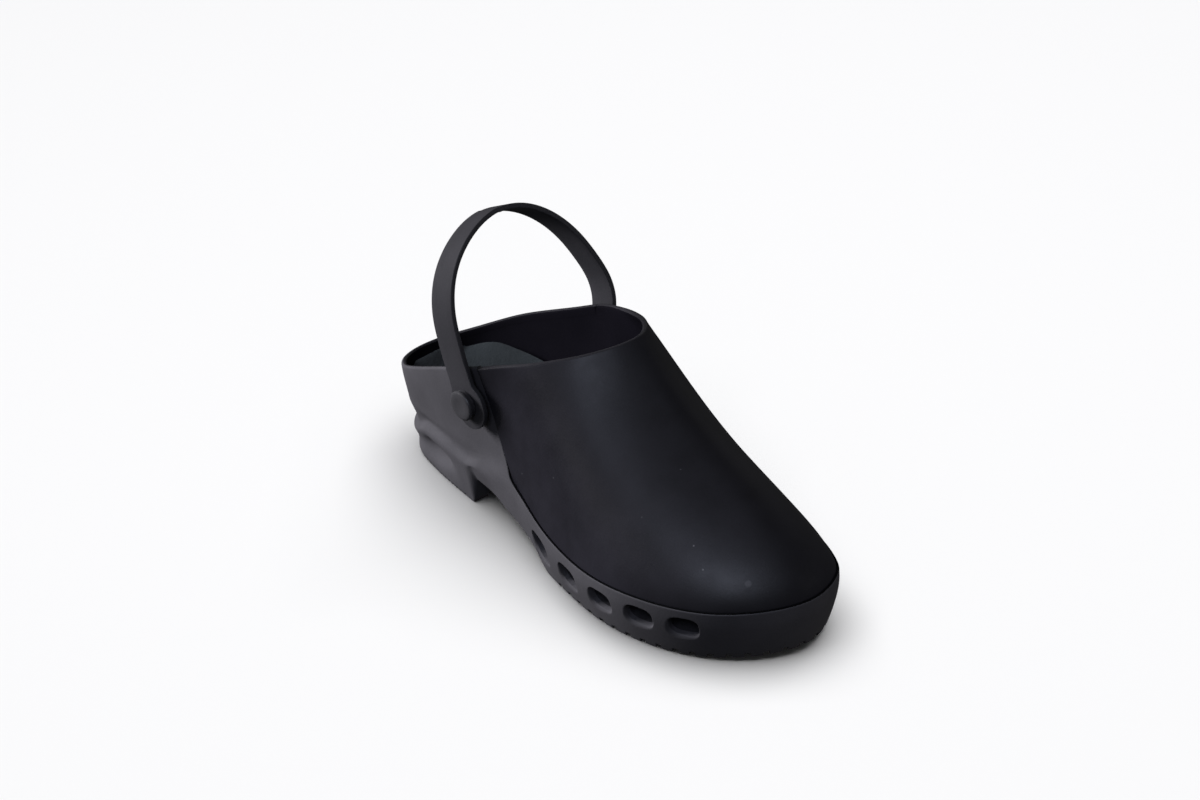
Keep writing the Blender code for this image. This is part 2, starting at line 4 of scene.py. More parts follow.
import bpy
import numpy as np
from mathutils import Matrix, Vector
from mathutils.kdtree import KDTree

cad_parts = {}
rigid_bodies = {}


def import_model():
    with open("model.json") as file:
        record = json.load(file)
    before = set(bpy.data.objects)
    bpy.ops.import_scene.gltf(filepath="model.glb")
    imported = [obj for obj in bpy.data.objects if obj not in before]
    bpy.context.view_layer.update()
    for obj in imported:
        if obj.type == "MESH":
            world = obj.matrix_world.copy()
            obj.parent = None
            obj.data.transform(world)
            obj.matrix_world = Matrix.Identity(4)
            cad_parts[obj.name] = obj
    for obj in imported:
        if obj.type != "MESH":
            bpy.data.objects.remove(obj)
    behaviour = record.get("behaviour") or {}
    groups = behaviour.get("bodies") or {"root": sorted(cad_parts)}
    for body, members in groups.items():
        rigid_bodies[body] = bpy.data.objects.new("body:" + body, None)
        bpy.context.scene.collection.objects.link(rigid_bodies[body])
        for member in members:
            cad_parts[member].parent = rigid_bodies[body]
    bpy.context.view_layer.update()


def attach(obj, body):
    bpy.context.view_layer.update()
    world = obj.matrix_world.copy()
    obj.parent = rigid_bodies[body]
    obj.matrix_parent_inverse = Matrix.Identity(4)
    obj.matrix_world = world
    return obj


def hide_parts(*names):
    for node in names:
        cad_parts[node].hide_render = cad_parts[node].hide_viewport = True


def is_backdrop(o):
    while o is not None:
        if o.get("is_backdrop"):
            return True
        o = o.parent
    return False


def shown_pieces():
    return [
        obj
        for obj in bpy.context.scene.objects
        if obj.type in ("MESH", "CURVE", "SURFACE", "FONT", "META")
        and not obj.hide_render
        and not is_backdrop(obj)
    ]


for startup in list(bpy.data.objects):
    bpy.data.objects.remove(startup, do_unlink=True)
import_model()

MM = 0.001

# ------------------------------------------------------------------ sizes
MID_T = 146.1           # t of the origin, half way along the shoe
MID_X = -5.1            # x of the origin, half way across it
WALL_THICK = 3.0        # wall of the upper
FIT = 0.55              # space between the upper's foot and the shelf it stands on
LIP_THICK = 2.2         # rand lip that laps the vamp
SHELF_ROOM = 0.6        # space at either side of the upper's wall
TOE_SPRING = 6.0        # lift of the tread under the toe
SPRING_FROM = 215.0
CORE_HALF = 0.58        # share of the half width that the shank rib takes
CORE_LIFT = 1.5         # height of the shank rib's underside
INSOLE_THICK = 3.0
INSOLE_DISH = 4.0       # rise of the heel cup's edge
VENT_DEPTH = 13.0
PIVOT_T = 94.6          # strap pivot
PIVOT_Z = 75.5
TAB_FACE = 43.3         # |x| of the strap tab's inner face
STRAP_THICK = 2.6
STRAP_WIDTH = 17.5
STRAP_LEAN = 0.341      # lean of the hoop towards the heel, radians
STRAP_TWIST = 0.136     # extra lean of the band at the top of the hoop
STRAP_TURN = -0.057     # the hoop's turn about the vertical, radians
STRAP_AHEAD = 1.2       # how far the hoop stands ahead of its pivots
STRAP_BLEND = 24.0      # height over which turn and offset set in
TAB_RADIUS = 13.2
BUTTON_RADIUS = 7.4
BUTTON_PROUD = 4.2
SHANK_RADIUS = 3.4
BORE_RADIUS = 3.75

# Widest outline of the rand, one row for each section from heel back to toe tip.
# lip: top of the rand, where the upper starts. inset: from the widest outline in to the tread edge.
# under: not used at the tread, see ARCH. sunk: depth of the shelf below the lip. foot: inset of the upper's foot.
PLAN = [
    # lat_t   lat_x   med_t  med_x   lip   inset sunk  foot
    (0.5,     0.0,    0.5,   0.0,   26.0,  8.0,  0.0,  2.4),
    (4.0,   -13.5,    4.0,  13.5,   26.0,  7.2,  0.0,  2.4),
    (15.0,  -24.5,   15.0,  24.0,   26.0,  5.8,  0.0,  2.4),
    (30.0,  -29.6,   30.0,  29.2,   26.6,  5.0,  0.0,  2.3),
    (50.0,  -33.2,   50.0,  32.6,   27.8,  4.5,  0.0,  2.0),
    (70.0,  -35.8,   70.0,  34.4,   28.2,  4.3,  0.0,  1.8),
    (90.0,  -38.0,   90.0,  34.4,   31.5,  3.6,  0.3,  2.0),
    (108.0, -40.3,  108.0,  34.6,   37.2,  3.0,  1.6,  2.5),
    (125.0, -43.8,  126.0,  36.8,   36.3,  3.0,  3.0,  2.8),
    (150.0, -51.2,  152.0,  42.0,   30.8,  4.0,  3.0,  2.8),
    (178.0, -58.0,  182.0,  46.1,   29.0,  5.0,  3.0,  2.8),
    (205.0, -60.8,  210.0,  46.6,   29.6,  5.6,  3.0,  2.8),
    (233.0, -57.0,  238.0,  42.6,   30.6,  5.8,  3.0,  2.8),
    (256.0, -48.5,  260.0,  36.6,   31.4,  5.8,  3.0,  2.8),
    (273.0, -37.0,  276.0,  29.2,   32.4,  5.8,  3.0,  2.8),
    (286.5, -21.5,  287.5,  18.6,   33.6,  5.8,  3.0,  2.8),
    (293.5,  -1.5,  293.5,  -1.5,   34.2,  5.8,  3.0,  2.8),
]
# Collar edge, a row for each row of PLAN.
RIM = [
    # lat_t  lat_x   med_t  med_x    z
    (-1.3,   0.0,   -1.3,   0.0,   47.5),
    (3.5,  -14.5,    3.5,  14.0,   49.5),
    (14.5, -24.5,   14.0,  23.5,   54.2),
    (27.5, -31.0,   27.0,  30.0,   61.0),
    (46.0, -36.0,   45.0,  34.6,   70.8),
    (65.0, -38.9,   65.0,  37.4,   80.4),
    (84.0, -40.2,   84.0,  40.2,   89.0),
    (99.0, -40.0,   98.0,  41.6,   95.6),
    (112.0, -38.0, 111.0,  40.2,  101.0),
    (126.5, -33.9, 125.0,  36.4,  106.8),
    (138.0, -28.4, 137.0,  32.6,  111.0),
    (147.5, -21.8, 146.0,  28.6,  114.2),
    (154.0, -15.2, 152.5,  24.6,  116.2),
    (158.5,  -8.8, 157.0,  20.8,  117.6),
    (161.5,  -3.0, 160.3,  17.2,  118.6),
    (163.5,   3.0, 162.8,  13.2,  119.4),
    (164.1,   8.6, 164.1,   8.6,  119.8),
]
# Rise of the wall between rand and collar, a row for each row of PLAN: rise and lean carry the wall up and
# out from its foot, reach and drop carry it out and down from the collar edge.
WALL = [
    # lateral                      medial
    # rise  lean   reach  drop     rise  lean   reach  drop
    (8.0,   0.0,   0.0,   8.0,     8.0,   0.0,   0.0,   8.0),
    (8.0,   0.0,   0.0,   8.0,     8.0,   0.0,   0.0,   8.0),
    (9.0,   0.0,   0.0,   9.0,     9.0,   0.0,   0.0,   9.0),
    (11.0,  0.0,   0.0,  11.0,    11.0,   0.0,   0.0,  11.0),
    (14.0,  0.6,   0.0,  14.0,    14.0,   0.8,   0.0,  14.0),
    (17.0,  1.4,   0.2,  17.0,    17.0,   2.2,   0.3,  17.0),
    (18.0,  2.0,   0.4,  19.0,    18.0,   3.4,   0.6,  19.0),
    (18.0,  2.2,   0.9,  20.0,    18.0,   4.2,   1.2,  20.0),
    (19.0,  2.0,   4.0,  20.0,    18.0,   3.4,   5.0,  19.0),
    (21.0,  1.2,  12.0,  19.0,    18.0,   1.8,  18.0,  13.0),
    (23.0,  0.4,  18.0,  23.0,    18.5,   0.4,  22.0,  19.0),
    (25.0, -0.3,  22.0,  29.0,    18.0,  -0.6,  21.5,  29.0),
    (27.0, -0.8,  25.0,  35.0,    18.5,  -1.0,  21.0,  38.5),
    (29.0, -0.9,  28.0,  39.5,    21.5,  -1.0,  23.5,  43.5),
    (31.0, -0.9,  31.0,  42.5,    26.0,  -1.0,  27.5,  45.5),
    (33.0, -0.9,  34.0,  43.8,    30.5,  -0.9,  32.0,  45.0),
    (34.6, -0.9,  36.0,  44.0,    34.6,  -0.9,  36.0,  44.0),
]
# Height of the tread edge above the ground, between heel breast and ball.
ARCH = [(77.5, 0.0), (80.0, 17.0), (98.0, 17.0), (108.0, 13.8), (126.0, 11.4), (138.0, 7.6), (147.0, 0.0)]
# Height of the sole's top face, under the insole.
DECK = [(0.0, 40.0), (55.0, 40.0), (90.0, 38.2), (130.0, 33.0), (165.0, 29.4), (195.0, 28.0),
        (230.0, 27.4), (260.0, 27.9), (290.0, 29.6)]
# Side vents: t and height of the middle, length along the wall, height.
VENTS = [
    (148.5, 16.0, 14.5, 11.0),
    (176.5, 16.0, 14.5, 11.0),
    (203.5, 17.6, 14.5, 11.0),
    (229.0, 19.4, 15.0, 10.6),
    (252.5, 20.6, 15.0, 10.6),
]
VENT_SEGMENTS = 4       # segments in each rounded corner
# Cross grooves of the tread: first t, last t, pitch, width, depth.
TREAD_FORE = (157.0, 283.0, 9.0, 2.0, 2.0)
TREAD_HEEL = (20.0, 70.0, 10.0, 1.6, 1.2)
# The hoop in its own plane, points of the band's inner face evenly apart from lateral to medial pivot.
HOOP = [
    # x     height above the pivots
    (-43.3,  0.0),
    (-42.9, 15.0),
    (-42.4, 30.2),
    (-40.9, 45.2),
    (-35.8, 59.4),
    (-26.4, 71.4),
    (-13.3, 80.0),
    (1.3,   83.2),
    (15.8,  79.4),
    (28.2,  70.0),
    (37.3,  57.4),
    (43.2,  43.6),
    (46.6,  29.2),
    (44.9,  14.8),
    (43.3,   0.0),
]
HOOP_TOP = 83.2
HOOP_SECTIONS = 46
TAB_SECTIONS = 9


# ------------------------------------------------------------------ curves
def periodic_spline(values):
    """Closed cubic through evenly numbered rows: the rows and their second derivatives."""
    y = np.asarray(values, float)
    n = len(y)
    a = 4.0 * np.eye(n) + np.roll(np.eye(n), 1, 1) + np.roll(np.eye(n), -1, 1)
    r = 6.0 * (np.roll(y, -1, 0) - 2.0 * y + np.roll(y, 1, 0))
    return y, np.linalg.solve(a, r)


def around(table, q):
    """Value at loop position q, counted in rows: forwards on the lateral side, back on the medial."""
    y, m = table
    n = len(y)
    q = np.asarray(q, float) % n
    i = q.astype(int) % n
    j = (i + 1) % n
    f = (q - np.floor(q))[..., None]
    g = 1 - f
    return g * y[i] + f * y[j] + ((g ** 3 - g) * m[i] + (f ** 3 - f) * m[j]) / 6.0


def loop_of(rows, lat, med):
    rows = np.asarray(rows, float)
    return periodic_spline(np.vstack([rows[:, lat], rows[-2:0:-1][:, med]]))


ROWS = len(PLAN)
LOOP = 2 * (ROWS - 1)
PLAN_LOOP = loop_of(PLAN, [0, 1, 4, 5, 6, 7], [2, 3, 4, 5, 6, 7])
RIM_LOOP = loop_of(RIM, [0, 1, 4], [2, 3, 4])
WALL_LOOP = loop_of(WALL, [0, 1, 2, 3], [4, 5, 6, 7])


def point(t, x, z):
    """Shoe sizes in mm to model space in metres."""
    x, t, z = np.broadcast_arrays(x, t, z)
    return np.stack([x - MID_X, MID_T - t, z], -1) * MM


def outward(q):
    """Outward direction (t, x) of the widest outline."""
    d = (around(PLAN_LOOP, np.asarray(q) + 0.02) - around(PLAN_LOOP, np.asarray(q) - 0.02))[..., :2]
    n = np.stack([d[..., 1], -d[..., 0]], -1)
    return n / np.linalg.norm(n, axis=-1, keepdims=True)


def inset(q, amount):
    """Plan point (t, x) that lies the amount inside the widest outline."""
    return around(PLAN_LOOP, q)[..., :2] - outward(q) * np.asarray(amount)[..., None]


def steps(table, t):
    return np.interp(t, [row[0] for row in table], [row[1] for row in table])


def tread_height(t):
    """Height of the tread edge at t: flat heel, arch, flat ball, toe spring."""
    return steps(ARCH, t) + TOE_SPRING * (np.clip(np.asarray(t) - SPRING_FROM, 0, None) / (293.5 - SPRING_FROM)) ** 2


def upper_point(q, v):
    """Outer face of the upper in shoe sizes (t, x, z): v 0 at the foot, 1 at the collar edge."""
    q, v = np.broadcast_arrays(np.asarray(q, float), np.asarray(v, float))
    plan = around(PLAN_LOOP, q)
    wall = around(WALL_LOOP, q)
    rim = around(RIM_LOOP, q)
    out = outward(q)
    base = plan[..., :2] - out * plan[..., 5:6]
    z = plan[..., 2:3] - plan[..., 4:5] + FIT
    run = base - rim[..., :2]
    run = run / np.linalg.norm(run, axis=-1, keepdims=True)
    p0 = np.concatenate([base, z], -1)
    p1 = np.concatenate([base + out * wall[..., 1:2], z + wall[..., 0:1]], -1)
    p2 = np.concatenate([rim[..., :2] + run * wall[..., 2:3], rim[..., 2:3] - wall[..., 3:4]], -1)
    v = v[..., None]
    g = 1 - v
    return g ** 3 * p0 + 3 * g * g * v * p1 + 3 * g * v * v * p2 + v ** 3 * rim


# ------------------------------------------------------------------ small helpers
def smooth(x, low, high):
    f = np.clip((np.asarray(x, float) - low) / (high - low), 0.0, 1.0)
    return f * f * (3 - 2 * f)


def unit(v):
    return v / np.maximum(np.linalg.norm(v, axis=-1, keepdims=True), 1e-12)


def loop_position(t, side):
    """Loop position at which the widest outline passes t, on the lateral (0) or medial (1) side."""
    low, high = 1.0, ROWS - 2.0
    for _ in range(40):
        mid = 0.5 * (low + high)
        q = mid if side == 0 else LOOP - mid
        if around(PLAN_LOOP, q)[0] < t:
            low = mid
        else:
            high = mid
    mid = 0.5 * (low + high)
    return mid if side == 0 else LOOP - mid


def row_frame(p):
    """(t, x, z) in mm to the row frame in metres."""
    return point(p[..., 0], p[..., 1], p[..., 2])


def mesh_object(name, verts, faces, mats, smooth_angle=38.0, face_mats=None, normals=None):
    mesh = bpy.data.meshes.new(name)
    verts = np.asarray(verts, np.float64)
    mesh.from_pydata(verts.tolist(), [], [tuple(int(i) for i in f) for f in faces])
    for mat in mats:
        mesh.materials.append(mat)
    if face_mats is not None:
        mesh.polygons.foreach_set("material_index", np.asarray(face_mats, np.int32))
    mesh.shade_smooth()
    if normals is not None:
        mesh.normals_split_custom_set_from_vertices([tuple(n) for n in normals])
    elif smooth_angle:
        mesh.set_sharp_from_angle(angle=math.radians(smooth_angle))
    obj = bpy.data.objects.new(name, mesh)
    bpy.context.scene.collection.objects.link(obj)
    return obj


def grid_faces(rows, cols, start=0, closed=False, flip=False):
    """Quads of a vertex grid stored row by row; closed joins the last column to the first."""
    out = []
    last = cols if closed else cols - 1
    for i in range(rows - 1):
        for j in range(last):
            k = (j + 1) % cols
            a, b, c, d = start + i * cols + j, start + i * cols + k, start + (i + 1) * cols + k, start + (i + 1) * cols + j
            out.append((a, d, c, b) if flip else (a, b, c, d))
    return out


# ------------------------------------------------------------------ outer face of heel, rand and quarters
SIDE_V = np.array([0.17, 0.25, 0.34, 0.44, 0.54, 0.64, 0.74, 0.83, 0.92, 1.0])
WALL_ROWS = 10                       # control rows of the sole's wall, below the first row of SIDE_V
TOP_W = WALL_ROWS + len(SIDE_V) - 1  # w at the collar edge
LIP_W = 7.35                         # w at the rand's upper edge


def controls(q):
    """Control rows of the outer face at loop position q, (..., rows, 3) in (t, x, z)."""
    q = np.asarray(q, float)
    plan = around(PLAN_LOOP, q)
    t = plan[..., 0]
    lip, tread_in = plan[..., 2], plan[..., 3]
    out = outward(q)
    edge_t = (plan[..., :2] - out * tread_in[..., None])[..., 0]
    low = soft_tread(edge_t)
    # the ledge runs lower round the back of the heel
    back = 1.0 - smooth(t, 20.0, 48.0)
    lip = lip - 8.5 * (1.0 - smooth(t, 12.0, 38.0)) + 2.4 * smooth(t, 24.0, 46.0) * (1.0 - smooth(t, 52.0, 76.0))
    high = lip - low
    heel = 1.0 - smooth(t, 76.0, 93.0)
    waist = smooth(t, 76.0, 93.0) * (1.0 - smooth(t, 118.0, 134.0))
    fore = 1.0 - heel - waist
    ti = tread_in
    share = [0.0, 0.03, 0.13, 0.30, 0.46, 0.62, 0.77]
    rand_in = [1.03 * ti, 0.97 * ti, 0.78 * ti, 0.52 * ti, 0.30 * ti, 0.12 * ti, 0.0 * ti]
    # The heel block flares at its foot and is hollowed below the ledge.
    heel_in = [1.0 * ti, 0.93 * ti, 0.80 * ti, 0.74 * ti + 0.5, 0.62 * ti + 1.0, 0.34 * ti + 0.7, 0.06 * ti + 0.1]
    plain = smooth(t, 50.0, 68.0)
    flat_in = [1.0 * ti, 0.93 * ti, 0.80 * ti, 0.62 * ti, 0.45 * ti, 0.28 * ti, 0.12 * ti]
    rows = []
    for k in range(7):
        a = heel * (heel_in[k] * (1 - plain) + flat_in[k] * plain) + (1 - heel) * rand_in[k]
        z = low + high * share[k]
        rows.append((a + back * (0.0, 0.0, 0.0, 0.2, 0.8, 1.9, 2.9)[k], z))
    rows.append((back * 3.4 + heel * -0.35 + waist * 0.1 + fore * 0.0, lip - heel * 2.7 - waist * 1.2 - fore * 0.7))
    rows.append((back * 4.0 + heel * 0.9 + waist * 0.55 + fore * 0.25, lip - heel * 0.9 + waist * 1.6 + fore * 1.6))
    rows.append((back * 3.2 + heel * 3.2 + waist * 1.15 + fore * 0.8, lip + heel * 1.3 + waist * 5.0 + fore * 4.5))
    wall = []
    for a, z in rows:
        p = plan[..., :2] - out * np.asarray(a)[..., None]
        wall.append(np.concatenate([p, np.asarray(z)[..., None]], -1))
    wall = np.stack(wall, -2)
    up = upper_point(q[..., None], np.broadcast_to(SIDE_V, q.shape + (len(SIDE_V),)))
    return np.concatenate([wall, up], -2)


def soft_tread(t):
    """Height of the wall's lower edge, with the corners of the heel breast and the arch eased."""
    t = np.asarray(t, float)
    shift = np.linspace(-1.0, 1.0, 9)
    near = np.mean([tread_height(t + 2.0 * s) for s in shift], 0)
    wide = np.mean([tread_height(t + 5.0 * s) for s in shift], 0)
    far = smooth(t, 86.0, 92.0)
    return near * (1 - far) + wide * far


def frame_face(q, w):
    """Outer face of the frame: w 0 at the tread edge, LIP_W at the rand's upper edge, TOP_W at the collar."""
    q, w = np.asarray(q, float), np.asarray(w, float)
    whole = np.broadcast_shapes(q.shape, w.shape)
    c = controls(q.reshape((1,) * (len(whole) - q.ndim) + q.shape))
    w = np.broadcast_to(w, whole)
    first = 2 * c[..., :1, :] - c[..., 1:2, :]
    final = 2 * c[..., -1:, :] - c[..., -2:-1, :]
    c = np.concatenate([first, c, final], -2)
    count = c.shape[-2]
    c = np.broadcast_to(c, whole + c.shape[-2:])
    i = np.clip(w.astype(int), 0, count - 4)
    f = (w - i)[..., None]
    take = lambda k: np.take_along_axis(c, (i + k)[..., None, None], -2)[..., 0, :]
    g = 1 - f
    return (g ** 3 * take(0) + (3 * f ** 3 - 6 * f * f + 4) * take(1)
            + (-3 * f ** 3 + 3 * f * f + 3 * f + 1) * take(2) + f ** 3 * take(3)) / 6.0


def frame_normal(q, w):
    d = 0.01
    a = frame_face(q + d, w) - frame_face(q - d, w)
    b = frame_face(q, np.minimum(w + 0.03, TOP_W)) - frame_face(q, np.maximum(w - 0.03, 0.0))
    return unit(np.cross(a, b))


def vamp_face(q, v):
    """Outer face of the vamp; its foot stands out to the rand."""
    p = upper_point(q, v)
    t = around(PLAN_LOOP, q)[..., 0]
    room = 1.9 * smooth(t, 100.0, 150.0)
    f = np.clip(1.0 - np.asarray(v) / 0.34, 0.0, 1.0)
    out = outward(np.asarray(q, float))
    p = p.copy()
    p[..., :2] += out * (room * f * f * (1.5 - 0.5 * f))[..., None]
    return p


def vamp_normal(q, v):
    d = 0.01
    a = vamp_face(q + d, v) - vamp_face(q - d, v)
    b = vamp_face(q, np.minimum(v + 0.01, 1.0)) - vamp_face(q, np.maximum(v - 0.01, 0.0))
    return unit(np.cross(a, b))


# ------------------------------------------------------------------ groove between frame and vamp
# t and height of the groove on each side, from the collar down to the rand.
GROOVE = [(97.0, 97.0), (100.2, 89.0), (104.6, 79.0), (108.7, 68.5), (111.6, 58.5), (114.0, 49.0), (116.4, 42.5),
          (119.6, 38.6), (125.0, 36.6), (133.0, 34.8)]


def groove_curve(side):
    """(q, w) of the groove's steep run on one side, then along the rand's upper edge to the toe."""
    lo, hi = loop_position(92.0, side), loop_position(140.0, side)
    qs = np.linspace(min(lo, hi) - 0.4, max(lo, hi), 260)
    ws = np.linspace(5.5, TOP_W, 420)
    face = frame_face(qs[:, None], ws[None, :])
    marks = []
    for k, (t, z) in enumerate(GROOVE):
        miss = (face[..., 0] - t) ** 2 + (face[..., 2] - z) ** 2
        if k == 0:
            miss = miss + np.where(ws[None, :] < TOP_W - 1e-6, 1e6, 0.0)
        i, j = np.unravel_index(np.argmin(miss), miss.shape)
        marks.append((qs[i], ws[j]))
    marks = np.array(marks)
    run = np.concatenate([[0.0], np.cumsum(np.hypot(marks[1:, 0] - marks[:-1, 0], (marks[1:, 1] - marks[:-1, 1]) * 0.2))])
    y, m = open_spline(marks)
    u = np.linspace(0, len(marks) - 1, 300)
    line = on_spline(y, m, u)
    return line


def open_spline(y):
    y = np.asarray(y, float)
    n = len(y)
    a = np.zeros((n, n))
    r = np.zeros_like(y)
    a[0, 0] = a[-1, -1] = 1.0
    for i in range(1, n - 1):
        a[i, i - 1:i + 2] = (1.0, 4.0, 1.0)
        r[i] = 6.0 * (y[i + 1] - 2.0 * y[i] + y[i - 1])
    return y, np.linalg.solve(a, r)


def on_spline(y, m, p):
    p = np.clip(np.asarray(p, float), 0, len(y) - 1)
    i = np.minimum(p.astype(int), len(y) - 2)
    f = (p - i)[..., None]
    g = 1 - f
    return g * y[i] + f * y[i + 1] + ((g ** 3 - g) * m[i] + (f ** 3 - f) * m[i + 1]) / 6.0


STEEP = {side: groove_curve(side) for side in (0, 1)}


def nearest(points, line):
    """Distance of each point to a dense polyline's points, and the index of the nearest."""
    tree = KDTree(len(line))
    for k, p in enumerate(line):
        tree.insert(p, k)
    tree.balance()
    found = [tree.find(p)[1:] for p in points]
    return np.array([f[1] for f in found]), np.array([f[0] for f in found])


# ------------------------------------------------------------------ columns of the frame
QB_RIM, QB_LIP = 6.62, 8.35          # foot positions of the columns that end at the collar corner and at the rand


def column_list():
    """Foot positions q of the frame's columns, lateral then medial, with a pair at each edge of a tread notch."""
    fine = np.linspace(0.0, LOOP, 6401)
    plan = inset(fine, around(PLAN_LOOP, fine)[:, 3])
    run = np.concatenate([[0.0], np.cumsum(np.linalg.norm(np.diff(plan, axis=0), axis=1))])
    total = run[-1]
    t_of = lambda s: np.interp(s, run, plan[:, 0])
    marks = list(np.arange(0.0, total, 1.25))
    # columns where the breast turns and where the groove climbs
    for side in (0, 1):
        for t in np.arange(74.5, 83.5, 0.35):
            marks.append(float(np.interp(loop_position(t, side), fine, run)))
        a, b = (QB_RIM - 0.25, QB_LIP) if side == 0 else (LOOP - QB_LIP, LOOP - QB_RIM + 0.25)
        for q in np.linspace(a, b, 90):
            marks.append(float(np.interp(q, fine, run)))
    notches = []
    tip = float(np.interp(16.0, fine, run))
    s = tip - 9.0 * 40 + 4.5
    while s < total:
        t = t_of(s)
        if 158.0 < t:
            notches.append((s, 1.5, 3.5))
        s += 9.0
    s = 0.0
    while s < total:
        t = t_of(s)
        if t < 71.0:
            notches.append((s, 0.6, 1.2))
        s += 3.9
    keep = [m for m in marks if all(abs(m - n[0]) > n[1] + 0.45 for n in notches)]
    for s, half, _ in notches:
        keep += [s - half - 0.12, s - half, s, s + half, s + half + 0.12]
    keep = np.array(sorted(set(round(float(m) % total, 4) for m in keep)))
    good = [keep[0]]
    for m in keep[1:]:
        if m - good[-1] > 0.05:
            good.append(m)
    keep = np.array(good)
    depth = np.zeros(len(keep))
    for s, half, deep in notches:
        gap = np.abs(keep - s)
        gap = np.minimum(gap, total - gap)
        depth = np.where(gap <= half + 0.02, deep, depth)
    return np.interp(keep, run, fine), depth


COLUMN_Q, COLUMN_NOTCH = column_list()
COLUMNS = len(COLUMN_Q)


def column_top(qb):
    """Upper end (q, w) of each frame column, and whether it ends at the collar."""
    side = (qb > LOOP / 2).astype(int)
    m = np.where(side == 0, qb, LOOP - qb)
    top_q, top_w = np.empty(len(qb)), np.empty(len(qb))
    rim = m <= QB_RIM + 1e-6
    for s in (0, 1):
        line = STEEP[s]
        run = np.concatenate([[0.0], np.cumsum(np.linalg.norm(np.diff(frame_face(line[:, 0], line[:, 1]), axis=0), axis=1))])
        corner = line[0, 0] if s == 0 else LOOP - line[0, 0]
        end = line[-1, 0] if s == 0 else LOOP - line[-1, 0]
        here = side == s
        q1 = m + (corner - QB_RIM) * smooth(m, 3.2, QB_RIM)
        f = np.clip((m - QB_RIM) / (QB_LIP - QB_RIM), 0, 1)
        # the steep run takes most of the fan's columns
        at = run[-1] * f
        q2 = np.interp(at, run, line[:, 0])
        w2 = np.interp(at, run, line[:, 1])
        q2 = q2 if s == 0 else LOOP - q2
        past = np.clip(m - QB_LIP, 0, None)
        q3 = m + (end - QB_LIP) * np.exp(-past / 0.5)
        w3 = LIP_W + (line[-1, 1] - LIP_W) * np.exp(-past / 0.5)
        q = np.where(m <= QB_RIM, q1, np.where(m <= QB_LIP, q2, q3))
        w = np.where(m <= QB_RIM, TOP_W, np.where(m <= QB_LIP, w2, w3))
        q = q if s == 0 else LOOP - q
        top_q[here], top_w[here] = q[here], w[here]
    return top_q, top_w, rim


TOP_Q, TOP_WW, AT_RIM = column_top(COLUMN_Q)
GROOVE_LINE = frame_face(TOP_Q[~AT_RIM], TOP_WW[~AT_RIM])


def dense_groove():
    """The whole groove as points close together, lateral collar corner round the toe to the medial one."""
    p = frame_face(TOP_Q[~AT_RIM], TOP_WW[~AT_RIM])
    out = []
    for a, b in zip(p[:-1], p[1:]):
        n = max(int(np.linalg.norm(b - a) / 0.25), 1)
        out.append(a + (b - a) * (np.arange(n) / n)[:, None])
    return np.concatenate(out + [p[-1:]])


DENSE = dense_groove()
RIM_ROUND = 1.45


def rim_and_lining(p_of, n_of, q, w_top, bottom_w, to_step):
    """Rows from just under the collar edge over its round and down the inner wall, (rows, cols, 3)."""
    top = p_of(q, w_top)
    under = p_of(q, w_top - to_step)
    up = unit(top - under)
    n = n_of(q, w_top - 0.5 * to_step)
    centre = top - up * RIM_ROUND - n * RIM_ROUND
    rows = []
    for a in np.linspace(0, math.pi, 11)[1:]:
        rows.append(centre + RIM_ROUND * (n * math.cos(a) + up * math.sin(a)))
    length = np.linalg.norm(top - under, axis=-1) / to_step
    start = w_top - (RIM_ROUND + 1.5) / length
    for f in (0.0, 0.02, 0.05):
        w = start + (bottom_w - start) * f
        rows.append(p_of(q, w) - n_of(q, w) * (2 * RIM_ROUND))
    return np.stack(rows)


def build_frame():
    """Grid of the frame: rows from the groove of the tread band, over the wall, to collar or groove."""
    rows_r = np.concatenate([np.array([0.0, 0.006, 0.013, 0.022]), np.linspace(0.036, 0.962, 56),
                             np.array([0.973, 0.982, 0.99, 0.9955, 1.0])])
    q = COLUMN_Q[None, :] + (TOP_Q - COLUMN_Q)[None, :] * (rows_r[:, None] ** 1.15)
    w = TOP_WW[None, :] * rows_r[:, None]
    # columns that reach the collar stop short of it by the round's radius
    top = frame_face(TOP_Q, TOP_WW)
    under = frame_face(TOP_Q, TOP_WW - 0.2)
    short = RIM_ROUND / (np.linalg.norm(top - under, axis=-1) / 0.2)
    w = np.where(AT_RIM[None, :], w * ((TOP_WW - short) / TOP_WW)[None, :], w)
    p = frame_face(q, w)
    n = frame_normal(q, w)
    flat = p.reshape(-1, 3)
    dist, _ = nearest(flat, DENSE)
    dist = dist.reshape(p.shape[:2])
    # rounded edge beside the groove
    radius = 0.85
    f = np.clip(1 - dist / radius, 0, 1)
    p = p - n * (radius * (1 - np.sqrt(np.clip(1 - f * f, 0, 1))))[..., None] * 0.9
    p = dimples(p, n)
    extra = [p[-1] - n[-1] * 1.6]
    below = tread_band(p[0], COLUMN_Q)
    return rows_r, q, w, p, n, np.stack(extra), below


def dimples(p, n):
    """Soft hollow on each side of the heel block."""
    for side in (-1, 1):
        c = np.array((44.0, side * 31.0, 14.5))
        d = p - c
        far = (d[..., 0] / 13.0) ** 2 + ((d[..., 2] - 0.10 * d[..., 0]) / 6.0) ** 2
        near = np.where(np.sign(p[..., 1]) == side, np.exp(-far ** 1.7), 0.0)
        p = p - n * (3.4 * near)[..., None]
    return p


BAND_IN = 8.0


